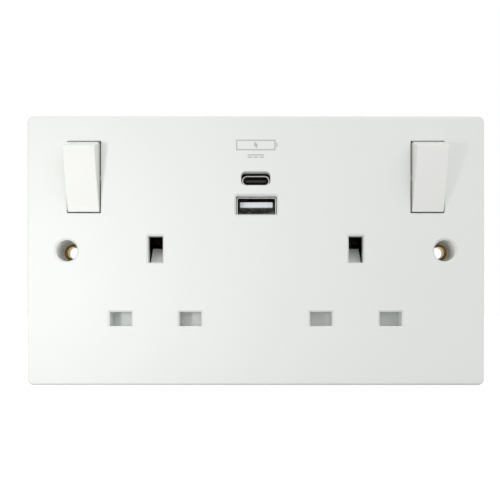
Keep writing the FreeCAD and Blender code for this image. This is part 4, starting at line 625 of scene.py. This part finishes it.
class SOCKET_OT_stage(bpy.types.Operator):
    """Set the floor, lamps, sky and camera"""

    bl_idname = "socket.stage"
    bl_label = "Studio"
    bl_options = {"REGISTER", "UNDO"}

    # The floor: half its width, its drop below the plate, its glow and the share of glow that shows
    floor_half = 3
    floor_drop = 0.1 * MM
    floor_glow = 1.45
    glow_share = 0.6

    # How far towards white a mirror sees the sky
    mirrored_sky = 0.8

    # The lamps: place, the point that each faces, and width
    key_lamp = ((-0.100, -0.125, -0.012), (-0.04, 0, 0), 0.022)
    soft_lamp = ((0.24, -0.44, 0.36), (0.03, 0, 0), 0.80)

    def execute(self, context):
        scene = context.scene
        studio = scene.socket_studio
        self.floor(scene)
        self.sky(scene, studio.sky)
        self.lamp(scene, "key_light", *self.key_lamp, studio.key)
        self.lamp(scene, "soft_light", *self.soft_lamp, studio.soft)
        self.camera(scene, studio)
        scene.view_settings.view_transform = "Standard"
        return {"FINISHED"}

    def floor(self, scene):
        """Pale paper, which the camera, mirrors and glass see as white."""
        shape = bmesh.new()
        bmesh.ops.create_grid(shape, x_segments=1, y_segments=1, size=self.floor_half)
        bmesh.ops.translate(shape, verts=shape.verts, vec=(0, 0, PLATE_LOW.z - self.floor_drop))
        floor = bpy.data.objects.new("floor", to_mesh("floor", shape))
        scene.collection.objects.link(floor)
        finish = Finish("floor_paper", Roughness=0.9)
        from_camera, from_mirror, from_glass = finish.rays()
        seen = from_camera.most(from_mirror).most(from_glass)
        paper = finish.mix(finish.noise(120), (0.62, 0.62, 0.62), (0.66, 0.66, 0.66))
        finish.base(finish.mix(seen, paper, (0.98, 0.98, 0.98)))
        glow = finish.add("Emission", inputs={"Color": opaque(WHITE), "Strength": self.floor_glow})
        lit = Wire(finish, finish.shader.outputs[0])
        blend = finish.add("MixShader", inputs={0: seen * self.glow_share, 1: lit, 2: glow})
        finish.feed(finish.tree.nodes["Material Output"].inputs["Surface"], blend)
        floor.data.materials.append(finish.material)

    def sky(self, scene, strength):
        """Even light all round, which the camera and glass see as white."""
        scene.world = bpy.data.worlds.new("sky")
        scene.world.use_nodes = True
        nodes = Nodes(scene.world.node_tree)
        from_camera, from_mirror, from_glass = nodes.rays()
        seen = from_camera.most(from_mirror * self.mirrored_sky).most(from_glass)
        level = nodes.add("MapRange", inputs={"Value": seen, "To Min": strength, "To Max": 1.0}, out="Result")
        background = nodes.tree.nodes["Background"]
        nodes.feed(background.inputs["Strength"], level)
        nodes.feed(background.inputs["Color"], opaque(WHITE))

    def lamp(self, scene, name, place, target, width, watts):
        """A round lamp that faces a point and shows in no mirror."""
        light = bpy.data.lights.new(name, "AREA")
        light.shape = "DISK"
        light.size = width
        light.energy = watts
        lamp = bpy.data.objects.new(name, light)
        lamp.location = place
        lamp.visible_glossy = False
        lamp.rotation_euler = (Vector(target) - Vector(place)).to_track_quat("-Z", "Y").to_euler()
        scene.collection.objects.link(lamp)

    def camera(self, scene, studio):
        """Looks square at the plate; a small shift frames it as the picture does."""
        lens = bpy.data.cameras.new("camera")
        lens.lens = studio.focal
        lens.sensor_width = SENSOR
        lens.clip_start = MM
        scale = studio.focal / SENSOR * PICTURE / studio.distance
        across, down = (place - PICTURE / 2 for place in studio.plate_place)
        lens.shift_x = -across / PICTURE
        lens.shift_y = (down - studio.foot * scale) / PICTURE
        camera = bpy.data.objects.new("camera", lens)
        camera.location = (0, FACE - studio.distance, studio.foot)
        camera.rotation_euler = (math.pi / 2, 0, 0)
        scene.collection.objects.link(camera)
        scene.camera = camera


class SOCKET_PT_panel(bpy.types.Panel):
    """Lists the socket's colours, sizes, studio and operators"""

    bl_idname = "SOCKET_PT_panel"
    bl_label = "Wall socket"
    bl_space_type = "VIEW_3D"
    bl_region_type = "UI"
    bl_category = "Socket"

    def draw(self, context):
        for group in (context.scene.socket_colours, context.scene.socket_sizes, context.scene.socket_studio):
            column = self.layout.column()
            for name in group.__annotations__:
                column.prop(group, name)
        for step in STEPS:
            self.layout.operator(step.bl_idname)


GROUPS = (SocketColours, SocketSizes, SocketStudio)
STEPS = (
    SOCKET_OT_stage,
    SOCKET_OT_mouldings,
    SOCKET_OT_housings,
    SOCKET_OT_metalwork,
    SOCKET_OT_charger,
    SOCKET_OT_print,
)


def register():
    for item in (*GROUPS, *STEPS, SOCKET_PT_panel):
        bpy.utils.register_class(item)
    bpy.types.Scene.socket_colours = bpy.props.PointerProperty(type=SocketColours)
    bpy.types.Scene.socket_sizes = bpy.props.PointerProperty(type=SocketSizes)
    bpy.types.Scene.socket_studio = bpy.props.PointerProperty(type=SocketStudio)


def unregister():
    for name in ("socket_colours", "socket_sizes", "socket_studio"):
        delattr(bpy.types.Scene, name)
    for item in reversed((*GROUPS, *STEPS, SOCKET_PT_panel)):
        bpy.utils.unregister_class(item)


def main():
    register()
    for step in STEPS:
        family, name = step.bl_idname.split(".")
        getattr(getattr(bpy.ops, family), name)()


if __name__ == "__main__":
    main()
